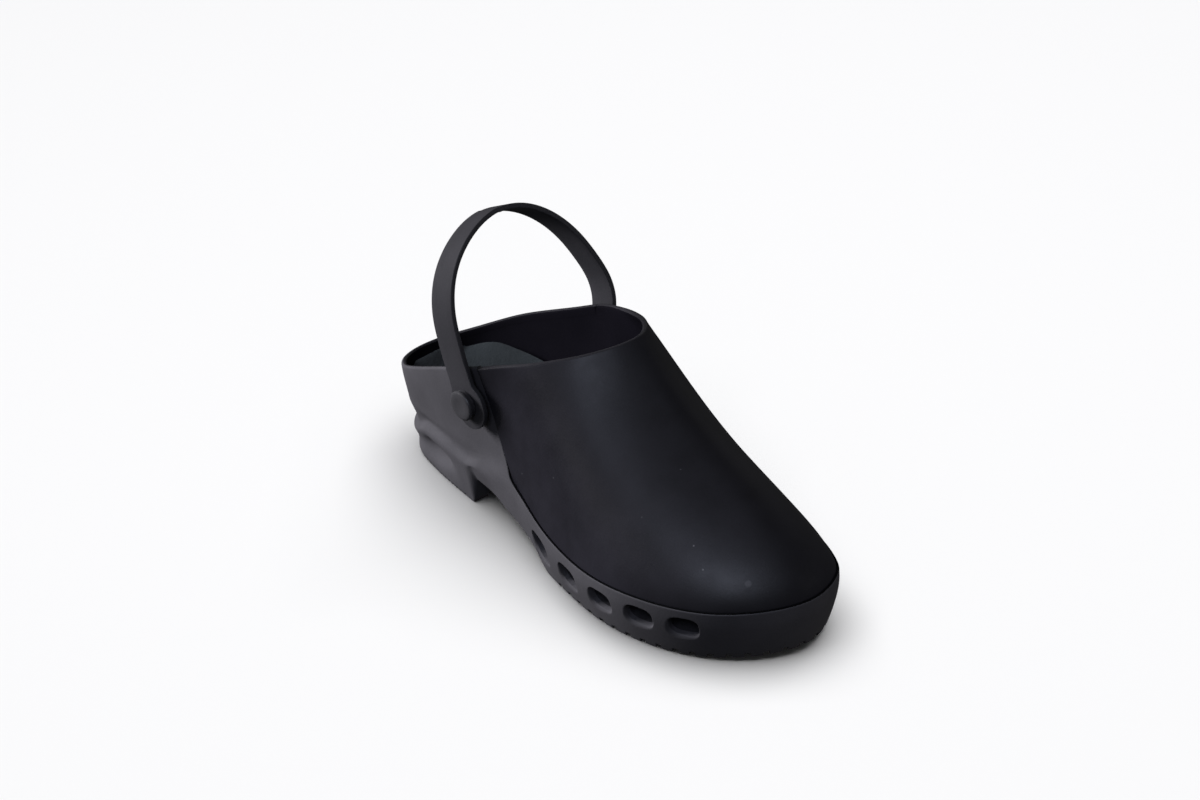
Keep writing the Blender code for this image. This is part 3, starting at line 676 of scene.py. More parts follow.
def tread_band(edge, q):
    """Underside rows from the inner side of the perimeter lugs out to the wall's lower edge."""
    plan = around(PLAN_LOOP, q)
    out = outward(q)
    low = edge[:, 2]
    fore = smooth(plan[:, 0], 150.0, 156.0)
    heel = 1 - smooth(plan[:, 0], 73.0, 77.0)
    lug = 2.0 * fore + 1.2 * heel
    rows = []
    for a, lift in ((BAND_IN + 0.1, 1.0), (BAND_IN, 0.0), (BAND_IN * 0.6, 0.0), (BAND_IN * 0.25, 0.0), (0.9, 0.0), (0.35, 0.0)):
        at = edge[:, :2] - out * a
        rows.append(np.concatenate([at, (low + lug * lift)[:, None]], 1))
    return np.stack(rows)



# ------------------------------------------------------------------ vents
# Faces deep in the vent pockets; they take the vent material, a darker copy of the sole rubber as painted shade.
POCKET = set()


def vent_patch(verts, q_rows, w_rows, base, index_of, spec, side):
    """Replaces a rectangle of the frame grid round one vent by rings that follow the vent's outline, a draughted
    pocket and its back wall. Returns the rectangle (row, column ranges) and the new faces."""
    t, z, long, high = spec
    fat = 1.0 + 0.30 * float(np.clip((190.0 - t) / 50.0, 0, 1))
    long, high = long * 1.06 * fat ** 0.5, high * 1.10 * fat
    q0 = loop_position(t, side)
    ws = np.linspace(0.3, LIP_W - 0.2, 200)
    line = frame_face(np.array([q0]), ws)
    w0 = float(np.interp(z, line[:, 2], ws))
    step = np.linalg.norm(frame_face(q0 + 0.05, w0) - frame_face(q0 - 0.05, w0)) / 0.1
    sign = 1.0 if side == 0 else -1.0

    def to_param(a, b):
        """Sizes along the wall towards the toe and up it, from the vent's middle, to (q, w)."""
        q = q0 + sign * a / step
        lines = frame_face(q[:, None], ws[None, :])
        w = np.array([np.interp(z + tilt * a[k] + b[k], lines[k, :, 2], ws) for k in range(len(a))])
        return q, w

    tilt = float((frame_face(q0 + sign * 0.2, 3.5)[2] - frame_face(q0 - sign * 0.2, 3.5)[2]) / (0.4 * step)) * 0.6
    half_a, half_b = long / 2 + 3.6, high / 2 + 3.4
    cols = [j for j in range(COLUMNS) if abs((COLUMN_Q[j] - q0) * step) < half_a]
    rows = [i for i in range(len(rows_r)) if abs(line_z(line, ws, w_rows[i, cols[len(cols) // 2]]) - z) < half_b]
    r0, r1, c0, c1 = rows[0], rows[-1], cols[0], cols[-1]
    border = [(r0, j) for j in range(c0, c1)] + [(i, c1) for i in range(r0, r1)]
    border += [(r1, j) for j in range(c1, c0, -1)] + [(i, c0) for i in range(r1, r0, -1)]
    centre = frame_face(q0, w0)
    axis = frame_normal(q0, w0)
    points = np.array([FP[i, j] for i, j in border])
    along = unit(frame_face(q0 + sign * 0.1, w0) - frame_face(q0 - sign * 0.1, w0))
    rise = np.array((0.0, 0.0, 1.0))
    a = (points - centre) @ along
    b = points[:, 2] - z - tilt * a
    angle = np.arctan2(b / high, a / long)
    ca, sb = np.cos(angle), np.sin(angle)
    # superellipse outline
    power = 3.0
    reach = (np.abs(ca) ** power + np.abs(sb) ** power) ** (-1 / power)
    oa, ob = ca * reach * long / 2, sb * reach * high / 2
    # the mouth is eased more below and at the heel side
    ease = 0.35 + 1.9 * np.clip(-0.75 * sb - 0.55 * ca, 0, 1)
    rings = []
    for f in (0.35, 0.7, 0.9):
        ring_a = a + (oa * (1 + ease / (long / 2)) - a) * f
        ring_b = b + (ob * (1 + ease / (high / 2)) - b) * f
        rings.append((ring_a, ring_b, 0.0))
    for f, d in ((1.0, 0.04), (0.75, 0.16), (0.45, 0.42), (0.2, 0.78), (0.0, 1.2)):
        rings.append((oa * (1 + f * ease / (long / 2)), ob * (1 + f * ease / (high / 2)), d))
    new = []
    for ra, rb, d in rings:
        q, w = to_param(ra, rb)
        new.append(frame_face(q, w) - frame_normal(q, w) * d * (0.35 + 0.65 * (ease[:, None] / 2.25 if d < 1.0 else 1.0)))
    mouth = new[-1]
    inner = -axis
    for d, shrink in ((2.4, 0.985), (5.0, 0.95), (8.5, 0.91), (12.0, 0.87), (12.6, 0.80), (12.6, 0.5), (12.6, 0.2)):
        mid = mouth.mean(0)
        new.append(mid + (mouth - mid) * shrink + inner * d)
    start = base
    count = len(border)
    for ring in new:
        verts.extend(ring)
    faces = []
    previous = [index_of(i, j) for i, j in border]
    for k in range(len(new)):
        current = [start + k * count + m for m in range(count)]
        for m in range(count):
            n = (m + 1) % count
            faces.append((previous[m], previous[n], current[n], current[m]))
        previous = current
    verts.append(new[-1].mean(0))
    hub = start + len(new) * count
    for m in range(count):
        faces.append((previous[m], previous[(m + 1) % count], hub))
    POCKET.update(faces[9 * count:])
    mid = mouth.mean(0)
    ribs = []
    for k in (-2, -1, 0, 1, 2):
        at = mid + along * (k * 2.1) + inner * 12.6
        ribs.append((at, along, rise, inner, 0.55, high * 0.36, 1.5))
    return (r0, r1, c0, c1), faces, ribs


def line_z(line, ws, w):
    return float(np.interp(w, ws, line[:, 2]))


# ------------------------------------------------------------------ frame meshes
rows_r, FQ, FW, FP, FN, FEXTRA, FBELOW = build_frame()


def frame_meshes():
    below = FBELOW.copy()
    wall = FP.copy()
    low = wall[0, :, 2].copy()
    deep = COLUMN_NOTCH > 0
    for rows in (below, wall[:14]):
        z = rows[..., 2]
        z[:, deep] = np.maximum(z[:, deep], (low + COLUMN_NOTCH)[deep])
    nb, nw = len(below), len(wall)
    verts = list(below.reshape(-1, 3)) + list(wall.reshape(-1, 3))
    index_of = lambda i, j: (nb + i) * COLUMNS + j % COLUMNS
    holes, extra_faces, ribs = [], [], []
    for side in (0, 1):
        for spec in VENTS:
            hole, faces, rib = vent_patch(verts, FQ, FW, len(verts), index_of, spec, side)
            holes.append(hole)
            extra_faces += faces
            ribs += rib
    sole_faces, quarter_faces = [], []
    for i in range(nb - 1):
        for j in range(COLUMNS):
            k = (j + 1) % COLUMNS
            sole_faces.append((i * COLUMNS + j, i * COLUMNS + k, (i + 1) * COLUMNS + k, (i + 1) * COLUMNS + j))
    for j in range(COLUMNS):
        k = (j + 1) % COLUMNS
        sole_faces.append(((nb - 1) * COLUMNS + j, (nb - 1) * COLUMNS + k, nb * COLUMNS + k, nb * COLUMNS + j))
    for i in range(nw - 1):
        for j in range(COLUMNS):
            if any(r0 <= i < r1 and c0 <= j < c1 for r0, r1, c0, c1 in holes):
                continue
            k = (j + 1) % COLUMNS
            face = (index_of(i, j), index_of(i, k), index_of(i + 1, k), index_of(i + 1, j))
            mid = 0.25 * (FW[i, j] + FW[i, k] + FW[i + 1, k] + FW[i + 1, j])
            (quarter_faces if mid > 9.6 else sole_faces).append(face)
    sole_faces += extra_faces
    # groove side of the lip
    start = len(verts)
    verts += list(FEXTRA[0])
    for j in range(COLUMNS):
        k = (j + 1) % COLUMNS
        if AT_RIM[j] and AT_RIM[k]:
            continue
        face = (index_of(nw - 1, j), index_of(nw - 1, k), start + k, start + j)
        (quarter_faces if FW[-1, j] > 9.6 else sole_faces).append(face)
    # collar round and lining behind the groove
    order = [j for j in range(COLUMNS) if AT_RIM[j]]
    cut_at = next(n for n in range(len(order) - 1) if order[n + 1] - order[n] > 1)
    order = order[cut_at + 1:] + order[:cut_at + 1]
    rim = rim_and_lining(frame_face, frame_normal, TOP_Q[order], TOP_W, 9.2, 0.12)
    start = len(verts)
    width = len(order)
    verts += list(rim.reshape(-1, 3))
    previous = [index_of(nw - 1, j) for j in order]
    for r in range(len(rim)):
        current = [start + r * width + m for m in range(width)]
        for m in range(width - 1):
            quarter_faces.append((previous[m], previous[m + 1], current[m + 1], current[m]))
        previous = current
    verts = row_frame(np.array(verts))
    return verts, sole_faces, quarter_faces, ribs, ((len(rim) - 4) * (width - 1), (len(rim) - 8) * (width - 1))


def compact(verts, faces):
    used = sorted({i for f in faces for i in f})
    place = {v: k for k, v in enumerate(used)}
    return verts[used], [tuple(place[i] for i in f) for f in faces]


def boxes(name, items, mats):
    """Small blocks: centre, three directions and half sizes along them, in mm."""
    verts, faces = [], []
    for at, a, b, c, ha, hb, hc in items:
        s = len(verts)
        for sa in (-1, 1):
            for sb in (-1, 1):
                for sc in (-1, 1):
                    verts.append(at + a * ha * sa + b * hb * sb + c * hc * sc)
        faces += [(s, s + 1, s + 3, s + 2), (s + 4, s + 6, s + 7, s + 5), (s, s + 4, s + 5, s + 1),
                  (s + 2, s + 3, s + 7, s + 6), (s, s + 2, s + 6, s + 4), (s + 1, s + 5, s + 7, s + 3)]
    return mesh_object(name, row_frame(np.array(verts)), faces, mats, 30)


def tread_field():
    """Middle of the underside: cross lugs under ball and heel, shank rib with a serrated underside between."""
    marks = []
    t = 11.0
    bars = []
    while t < 70:
        bars.append((t, t + 5.4, 1.2))
        t += 7.8
    t = 152.5
    while t < 281:
        bars.append((t, t + 7.0, 2.0))
        t += 9.0
    for a, b, _ in bars:
        marks += [a - 0.12, a + 0.12, b - 0.12, b + 0.12]
    t = 81.0
    while t < 148.5:
        marks += [t, t + 0.2, t + 2.2, t + 2.4]
        t += 4.0
    marks += list(np.arange(73.5, 81.0, 0.5)) + [7.6, 284.6]
    marks = sorted(marks)
    rows, cols = [], None
    s_marks = np.array([-1, -0.86, -0.85, -0.845, -0.843, -0.84, -0.3, -0.05, -0.045, 0.045, 0.05, 0.3, 0.84, 0.843, 0.845,
                        0.85, 0.86, 1.0])
    verts = []
    for t in marks:
        ql, qm = loop_position(t, 0), loop_position(t, 1)
        ti = around(PLAN_LOOP, ql)[3]
        a = inset(ql, ti + BAND_IN - 1.2)
        b = inset(qm, ti + BAND_IN - 1.2)
        low = float(soft_tread(t))
        for s in s_marks:
            f = 0.5 * (1 + s)
            p = a + (b - a) * f
            fore = t > 150.5
            heel = t < 77.5
            if fore or heel:
                floor = 2.0 if fore else 1.2
                on = any(x <= t <= y for x, y, _ in bars) and 0.048 < abs(s) < 0.855
                z = low + (0.0 if on else floor)
                if heel and t > 71.5:
                    z = low + 1.2
            else:
                core = 1.5 + (0.9 if ((t - 81.0) % 4.0) > 2.3 or t < 81 else 0.0)
                z = core if abs(s) < 0.842 else low + 0.5
                z = min(z, low + 0.5)
            verts.append((p[0], p[1], z))
    n = len(s_marks)
    faces = grid_faces(len(marks), n, flip=False)
    return mesh_object("tread_field", row_frame(np.array(verts)), faces, [SOLE_MAT], 25)


# ------------------------------------------------------------------ vamp
def vamp_groove_start(side):
    """q of the groove against v on one side, in vamp_face's own measure."""
    lo, hi = loop_position(92.0, side), loop_position(140.0, side)
    qs = np.linspace(min(lo, hi) - 0.3, max(lo, hi), 240)
    vs = np.linspace(0.0, 1.0, 300)
    face = vamp_face(qs[:, None], vs[None, :])
    line = frame_face(STEEP[side][::12, 0], STEEP[side][::12, 1])
    out = []
    for p in line:
        i, j = np.unravel_index(np.argmin(((face - p) ** 2).sum(-1)), face.shape[:2])
        out.append((vs[j], qs[i]))
    out = np.array(out)
    order = np.argsort(out[:, 0])
    v, first = np.unique(out[order, 0], return_index=True)
    return v, out[order, 1][first]


def build_vamp():
    low_v = np.concatenate([np.linspace(0, 0.05, 22), np.linspace(0.058, 1.0, 104)])
    v_l, q_l = vamp_groove_start(0)
    v_m, q_m = vamp_groove_start(1)
    # straight line fits keep the columns even; the tuck under the frame hides the difference
    fit_l = np.polynomial.Polynomial.fit(v_l[v_l > 0.12], q_l[v_l > 0.12], 3)
    fit_m = np.polynomial.Polynomial.fit(v_m[v_m > 0.12], q_m[v_m > 0.12], 3)
    vs = np.clip(low_v, 0.1, 1.0)
    left, right = fit_l(vs) - 0.075, fit_m(vs) + 0.075
    share = np.concatenate([np.linspace(0, 0.022, 24)[:-1], np.linspace(0.022, 0.978, 270), np.linspace(0.978, 1, 24)[1:]])
    q = left[:, None] + (right - left)[:, None] * share[None, :]
    v = np.broadcast_to(low_v[:, None], q.shape).copy()
    rim_q = q[-1].copy()
    step = 0.02
    top = vamp_face(rim_q, np.ones_like(rim_q))
    under = vamp_face(rim_q, np.full_like(rim_q, 1 - step))
    short = RIM_ROUND / (np.linalg.norm(top - under, axis=-1) / step)
    v = v * (1 - short)[None, :]
    p = vamp_face(q, v)
    n = vamp_normal(q, v)
    dist, near = nearest(p.reshape(-1, 3), DENSE)
    dist, near = dist.reshape(q.shape), near.reshape(q.shape)
    tangent = unit(np.gradient(DENSE, axis=0))
    side = np.cross(n, tangent[near])
    toe = np.argmax(DENSE[:, 0])
    probe = np.cross(np.array((1.0, 0.0, 0.2)), tangent[toe])
    side = side * (1.0 if probe[2] > 0 else -1.0)
    signed = dist * np.sign(((p - DENSE[near]) * side).sum(-1))
    f = np.clip(signed / 1.5, 0, 1)
    dip = 1.5 * (1 - np.sqrt(np.clip(1 - (1 - f) ** 2, 0, 1))) + 0.7 * smooth(-signed, 0.0, 0.8)
    proud = 1.1 * smooth(p[..., 2], 44.0, 66.0) * np.exp(-(np.clip(signed, 0, None) / 9.0) ** 2)
    offset = proud - dip
    p = p + n * offset[..., None]
    rim = rim_and_lining(vamp_face, vamp_normal, rim_q, 1.0, 0.02, step)
    n_top = n[-1]
    rounds = np.clip(1 - np.arange(len(rim)) / 12.0, 0, 1)
    rim = rim + n_top[None] * (offset[-1][None, :] * rounds[:, None])[..., None]
    rows = np.concatenate([p, rim])
    verts = row_frame(rows).reshape(-1, 3)
    faces = grid_faces(len(rows), q.shape[1])
    per_row = q.shape[1] - 1
    return verts, faces, ((len(rim) - 1) * per_row, (len(rim) - 8) * per_row)


# ------------------------------------------------------------------ insole
def insole_mesh():
    ts = np.concatenate([np.linspace(4.5, 20, 14)[:-1], np.arange(20, 284, 2.5), np.linspace(284, 291.0, 6)])
    s_marks = np.sin(np.linspace(-math.pi / 2, math.pi / 2, 61))
    verts = []
    for t in ts:
        ql, qm = loop_position(t, 0), loop_position(t, 1)
        a, b = inset(ql, 5.6), inset(qm, 5.6)
        for s in s_marks:
            p = a + (b - a) * 0.5 * (1 + s)
            base = float(steps(DECK, t)) + 3.3
            cup = 10.0 * float(np.clip((150.0 - t) / 70.0, 0, 1) * smooth(t, 2.0, 38.0))
            back = 4.0 * math.exp(-((t - 3.0) / 12.0) ** 2)
            z = base + max(cup * abs(s) ** 2.4, back)
            verts.append((p[0], p[1], z))
    n = len(s_marks)
    return row_frame(np.array(verts)), grid_faces(len(ts), n, flip=True)


# ------------------------------------------------------------------ strap
def natural(y):
    """Cubic through evenly numbered points that leaves both ends straight up."""
    n = len(y)
    a = np.zeros((n, n))
    r = np.zeros_like(y)
    for i in range(1, n - 1):
        a[i, i - 1:i + 2] = (1.0, 4.0, 1.0)
        r[i] = 6.0 * (y[i + 1] - 2.0 * y[i] + y[i - 1])
    up = np.array((0.0, 15.0))
    a[0, :2] = (2.0, 1.0)
    r[0] = 6.0 * ((y[1] - y[0]) - up)
    a[-1, -2:] = (1.0, 2.0)
    r[-1] = 6.0 * (-up - (y[-1] - y[-2]))
    return y, np.linalg.solve(a, r)


def tab_width(s):
    """Front and rear half widths of the tab, s mm above the pivot."""
    round_part = math.sqrt(max(TAB_RADIUS ** 2 - (s + 1.0) ** 2, 0.0))
    half = STRAP_WIDTH / 2
    front = max(round_part, half) if s > 0 else round_part
    rear = max(round_part * 0.86, half) if s > 0 else round_part * 0.86
    return front, rear


def strap_mesh():
    y, m = natural(np.array(HOOP, float))
    path = lambda p: on_spline(y, m, p)
    last = len(HOOP) - 1
    sections = []

    def section(x, r, direction, front, rear, rel, corner=0.5):
        lean = STRAP_LEAN
        turn = STRAP_LEAN + STRAP_TWIST * rel
        nx, nr = -direction[1], direction[0]
        centre_y = r * math.sin(lean)
        centre_z = r * math.cos(lean)
        thick = STRAP_THICK
        blend = min(max(r / STRAP_BLEND, 0.0), 1.0)
        blend = blend * blend * (3 - 2 * blend)
        corner = min(corner, 0.45 * (front + rear))
        outline = []
        for cx, cy, first in ((thick - corner, front - corner, 0), (corner, front - corner, 90),
                              (corner, -rear + corner, 180), (thick - corner, -rear + corner, 270)):
            for k in range(5):
                a = math.radians(first + k * 22.5)
                outline.append((cx + corner * math.cos(a), cy + corner * math.sin(a)))
        # a few points across the broad faces
        full = []
        for k in range(len(outline)):
            p, n = outline[k], outline[(k + 1) % len(outline)]
            full.append(p)
            if k in (9, 19):
                for f in (0.25, 0.5, 0.75):
                    full.append((p[0] + (n[0] - p[0]) * f, p[1] + (n[1] - p[1]) * f))
        loop = []
        for out, wide in full:
            dx, dr = nx * out, nr * out
            yy = centre_y + dr * math.sin(lean) - wide * math.cos(turn)
            yy += (STRAP_TURN * x - STRAP_AHEAD) * blend
            z = centre_z + dr * math.cos(lean) + wide * math.sin(turn)
            if x > 0:
                # the medial leg runs a little further forward where it meets the collar
                yy -= 3.6 * float(smooth(r, 3.0, 13.0) * (1.0 - smooth(r, 20.0, 105.0)))
            loop.append(((x + dx - MID_X) * MM, (MID_T - PIVOT_T + yy) * MM, (PIVOT_Z + z) * MM))
        sections.append(loop)

    angles = np.radians(np.linspace(7, 90, 20))
    tab = [-1.0 - TAB_RADIUS * math.cos(a) for a in angles] + [0.5, 2.0, 3.5, 5.0, 6.5, 8.0, 9.2]
    for s in tab:
        front, rear = tab_width(s)
        section(-TAB_FACE, s, (0.0, 1.0), front, rear, 0.0)
    ps = np.linspace(0.0, last, 1200)
    xy = path(ps)
    run = np.concatenate([[0.0], np.cumsum(np.hypot(*np.diff(xy, axis=0).T))])
    total = run[-1]
    for mark in np.linspace(11.5, total - 11.5, 170):
        p = float(np.interp(mark, run, ps))
        x, r = path(np.array(p))
        d = path(np.array(p + 0.01)) - path(np.array(p - 0.01))
        d = d / np.linalg.norm(d)
        near = min(mark, total - mark)
        front = rear = STRAP_WIDTH / 2
        if near < 15.0:
            front, rear = tab_width(near)
        section(x, r, d, front, rear, min(max(r / HOOP_TOP, 0.0), 1.0))
    for s in reversed(tab):
        front, rear = tab_width(s)
        section(TAB_FACE, s, (0.0, -1.0), front, rear, 0.0)
    size = len(sections[0])
    verts = [p for loop in sections for p in loop]
    faces = grid_faces(len(sections), size, closed=True)
    faces.append(tuple(reversed(range(size))))
    faces.append(tuple(range((len(sections) - 1) * size, len(sections) * size)))
    return np.array(verts), faces


def turned(name, profile, side, mats, segments=72):
    """Turned solid on a button's axis: profile of (radius, distance out from the tab's inner face), mm."""
    verts, faces = [], []
    n = len(profile)
    for k in range(segments):
        a = 2 * math.pi * k / segments
        for r, z in profile:
            verts.append(((side * (TAB_FACE + z) - MID_X) * MM, (MID_T - PIVOT_T + r * math.cos(a)) * MM,
                          (PIVOT_Z + r * math.sin(a)) * MM))
    for k in range(segments):
        j = (k + 1) % segments
        for i in range(n - 1):
            f = (k * n + i, k * n + i + 1, j * n + i + 1, j * n + i)
            faces.append(f if side > 0 else f[::-1])
    return mesh_object(name, verts, faces, mats, 32)


def lining_mesh():
    """Inner face of the upper, all the way round, from just under the collar's round to below the footbed."""
    q = np.linspace(0, LOOP, 401)[:-1]
    v = np.linspace(0.972, 0.0, 48)
    p = upper_point(q[None, :], v[:, None])
    d = 0.01
    a = upper_point(q[None, :] + d, v[:, None]) - upper_point(q[None, :] - d, v[:, None])
    b = upper_point(q[None, :], np.minimum(v + d, 1.0)[:, None]) - upper_point(q[None, :], np.maximum(v - d, 0.0)[:, None])
    p = p - unit(np.cross(a, b)) * 2.85
    return row_frame(p).reshape(-1, 3), grid_faces(len(v), len(q), closed=True)


def tube(line, radius, around_count=6):
    """Thin closed-section tube along points, in mm."""
    run = unit(np.gradient(line, axis=0))
    side = unit(np.cross(run, np.array((0.0, 0.0, 1.0)) + 0 * run))
    up = np.cross(side, run)
    rings = [line + radius * (side * math.cos(a) + up * math.sin(a)) for a in np.linspace(0, 2 * math.pi, around_count + 1)[:-1]]
    p = np.stack(rings, 1)
    faces = grid_faces(len(line), around_count, closed=True)
    faces.append(tuple(range(around_count)))
    faces.append(tuple((len(line) - 1) * around_count + k for k in reversed(range(around_count))))
    return row_frame(p).reshape(-1, 3), faces


# ------------------------------------------------------------------ materials
def nodes_of(name, colour, rough, **sockets):
    mat = bpy.data.materials.new(name)
    mat.use_nodes = True
    tree = mat.node_tree
    shader = tree.nodes["Principled BSDF"]
    shader.inputs["Base Color"].default_value = (*colour, 1.0)
    shader.inputs["Roughness"].default_value = rough
    for key, value in sockets.items():
        shader.inputs[key.replace("_", " ")].default_value = value
    return mat, tree, shader


def add(tree, kind, **values):
    node = tree.nodes.new(kind)
    for key, value in values.items():
        if hasattr(node, key) and key not in node.inputs:
            setattr(node, key, value)
        else:
            node.inputs[key.replace("_", " ")].default_value = value
    return node


def rubber(name, colour, rough, grain=0.12, mottle=0.18, scale=900.0, specular=0.5, specks=()):
    """Moulded rubber: faint cloudy tone, uneven gloss, fine grain. specks: (x, y, z, radius, tone) of dust in metres."""
    mat, tree, shader = nodes_of(name, colour, rough)
    shader.inputs["Specular IOR Level"].default_value = specular
    link = tree.links.new
    coords = add(tree, "ShaderNodeTexCoord").outputs["Object"]
    cloud = add(tree, "ShaderNodeTexNoise", Scale=28.0, Detail=5.0, Roughness=0.6)
    link(coords, cloud.inputs["Vector"])
    tone = add(tree, "ShaderNodeMapRange")
    tone.inputs["From Min"].default_value, tone.inputs["From Max"].default_value = 0.3, 0.7
    tone.inputs["To Min"].default_value, tone.inputs["To Max"].default_value = 1.0 - mottle, 1.0 + mottle
    link(cloud.outputs["Fac"], tone.inputs["Value"])
    base = add(tree, "ShaderNodeRGB")
    base.outputs[0].default_value = (*colour, 1.0)
    scale_up = add(tree, "ShaderNodeVectorMath", operation="SCALE")
    link(base.outputs[0], scale_up.inputs[0])
    link(tone.outputs[0], scale_up.inputs["Scale"])
    out = scale_up.outputs[0]
    if specks:
        total = None
        for x, y, z, radius, tone_of in specks:
            d = add(tree, "ShaderNodeVectorMath", operation="DISTANCE")
            d.inputs[1].default_value = (x, y, z)
            link(coords, d.inputs[0])
            m = add(tree, "ShaderNodeMapRange", interpolation_type="SMOOTHSTEP")
            m.inputs["From Min"].default_value, m.inputs["From Max"].default_value = 0.4 * radius, radius
            m.inputs["To Min"].default_value, m.inputs["To Max"].default_value = tone_of, 0.0
            link(d.outputs["Value"], m.inputs["Value"])
            if total is None:
                total = m.outputs[0]
            else:
                s = add(tree, "ShaderNodeMath", operation="MAXIMUM")
                link(total, s.inputs[0])
                link(m.outputs[0], s.inputs[1])
                total = s.outputs[0]
        mix = add(tree, "ShaderNodeMix", data_type="RGBA")
        link(total, mix.inputs["Factor"])
        link(out, mix.inputs[6])
        mix.inputs[7].default_value = (0.30, 0.30, 0.33, 1.0)
        out = mix.outputs[2]
    link(out, shader.inputs["Base Color"])
    gloss = add(tree, "ShaderNodeMapRange")
    gloss.inputs["From Min"].default_value, gloss.inputs["From Max"].default_value = 0.3, 0.7
    gloss.inputs["To Min"].default_value, gloss.inputs["To Max"].default_value = rough - 0.04, rough + 0.05
    wear = add(tree, "ShaderNodeTexNoise", Scale=60.0, Detail=6.0, Roughness=0.65)
    link(coords, wear.inputs["Vector"])
    link(wear.outputs["Fac"], gloss.inputs["Value"])
    link(gloss.outputs[0], shader.inputs["Roughness"])
    fine = add(tree, "ShaderNodeTexNoise", Scale=scale, Detail=3.0, Roughness=0.6)
    link(coords, fine.inputs["Vector"])
    bump = add(tree, "ShaderNodeBump", Strength=grain)
    bump.inputs["Distance"].default_value = 0.0006
    link(fine.outputs["Fac"], bump.inputs["Height"])
    link(bump.outputs[0], shader.inputs["Normal"])
    return mat


VAMP_MAT = rubber("satin_rubber", (0.0082, 0.0078, 0.0106), 0.47, grain=0.07, mottle=0.30, specular=0.42, specks=[
    (-0.0382, 0.0151, 0.0491, 0.0005, 0.10), (-0.0422, -0.0141, 0.0624, 0.0005, 0.08), (-0.0098, -0.0704, 0.0776, 0.0005, 0.10),
    (-0.0351, -0.0695, 0.0623, 0.0005, 0.08), (-0.0283, -0.0978, 0.0561, 0.0006, 0.22), (-0.0317, -0.1073, 0.0487, 0.0006, 0.22),
    (-0.0211, -0.1268, 0.0448, 0.0022, 0.12), (-0.0196, -0.1254, 0.0455, 0.0014, 0.09), (-0.0226, -0.1278, 0.0440, 0.0009, 0.16)])
FRAME_MAT = rubber("matte_rubber", (0.0370, 0.0357, 0.0406), 0.60, grain=0.16, mottle=0.14)
SOLE_MAT = rubber("sole_rubber_look", (0.0370, 0.0357, 0.0406), 0.60, grain=0.16, mottle=0.14)
INSOLE_MAT = rubber("footbed_foam", (0.0120, 0.0142, 0.0166), 0.72, grain=0.5, mottle=0.2, scale=500.0)
STRAP_MAT = rubber("strap_rubber_look", (0.0195, 0.0189, 0.0218), 0.55, grain=0.14, mottle=0.12)
BUTTON_MAT = rubber("button_rubber_look", (0.0270, 0.0264, 0.0296), 0.42, grain=0.1, mottle=0.12)

# Painted shade: the inner walls and the inner side of the collar take a near-black copy of the upper's rubber with
# weak specular, standing in for the shade inside the shoe.
LINING_SHADE_MAT = rubber("lining_rubber_painted_shade", (0.0030, 0.0027, 0.0042), 0.65, grain=0.12, mottle=0.2, specular=0.12)
RIM_MAT = rubber("rim_rubber", (0.0130, 0.0124, 0.0150), 0.52, grain=0.1, mottle=0.15, specular=0.4)
# Painted shade: near-black matte material for the tube that stands in for the shadow inside the groove.
GROOVE_SHADE_MAT = rubber("groove_painted_shade", (0.0020, 0.0020, 0.0024), 0.85, grain=0.0, mottle=0.0, specular=0.1)
# Painted shade: a darker copy of the sole rubber for the deep walls, backs and ribs of the vents, standing in for
# the shade in the pockets.
VENT_SHADE_MAT = rubber("vent_rubber_painted_shade", (0.0120, 0.0115, 0.0135), 0.65, grain=0.3, mottle=0.3, specular=0.3)

# ------------------------------------------------------------------ pieces
def edge_materials(piece, counts):
    """The last faces are the collar's round and lining: counts from the end, one for each further slot."""
    faces = list(piece.data.polygons)
    for slot, count in enumerate(counts, 1):
        for face in faces[-count:]:
            face.material_index = slot


verts, sole_faces, quarter_faces, rib_items, quarter_edge = frame_meshes()
sv, sf = compact(verts, sole_faces)
qv, qf = compact(verts, quarter_faces)
sole_piece = mesh_object("sole_and_rand", sv, sf, [SOLE_MAT, VENT_SHADE_MAT], 36)
# Painted shade: faces deep in each vent pocket take the darker vent material.
for face, loop in zip(sole_piece.data.polygons, sole_faces):
    if loop in POCKET:
        face.material_index = 1
quarter_piece = mesh_object("quarters", qv, qf, [FRAME_MAT, RIM_MAT, LINING_SHADE_MAT], 42)
edge_materials(quarter_piece, quarter_edge)
vv, vf, vamp_edge = build_vamp()
vamp_piece = mesh_object("vamp", vv, vf, [VAMP_MAT, RIM_MAT, LINING_SHADE_MAT], 42)
edge_materials(vamp_piece, vamp_edge)
iv, inf = insole_mesh()
insole_piece = mesh_object("footbed", iv, inf, [INSOLE_MAT], 60)
tv, tf = strap_mesh()
strap_piece = mesh_object("heel_strap", tv, tf, [STRAP_MAT], 50)
lv, lf = lining_mesh()
lining_piece = mesh_object("lining", lv, lf, [LINING_SHADE_MAT], 60)
# Painted shade: a thin near-black tube just under the groove's surface stands in for the shadow inside the groove
# between frame and vamp.
groove_q, groove_w = TOP_Q[~AT_RIM], TOP_WW[~AT_RIM]
groove_shade_line = frame_face(groove_q, groove_w) - frame_normal(groove_q, groove_w) * 0.75
gv, gf = tube(groove_shade_line, 0.5)
groove_shade_piece = mesh_object("groove_shadow_gap", gv, gf, [GROOVE_SHADE_MAT], 60)
field_piece = tread_field()
ribs_piece = boxes("vent_ribs", rib_items, [VENT_SHADE_MAT])

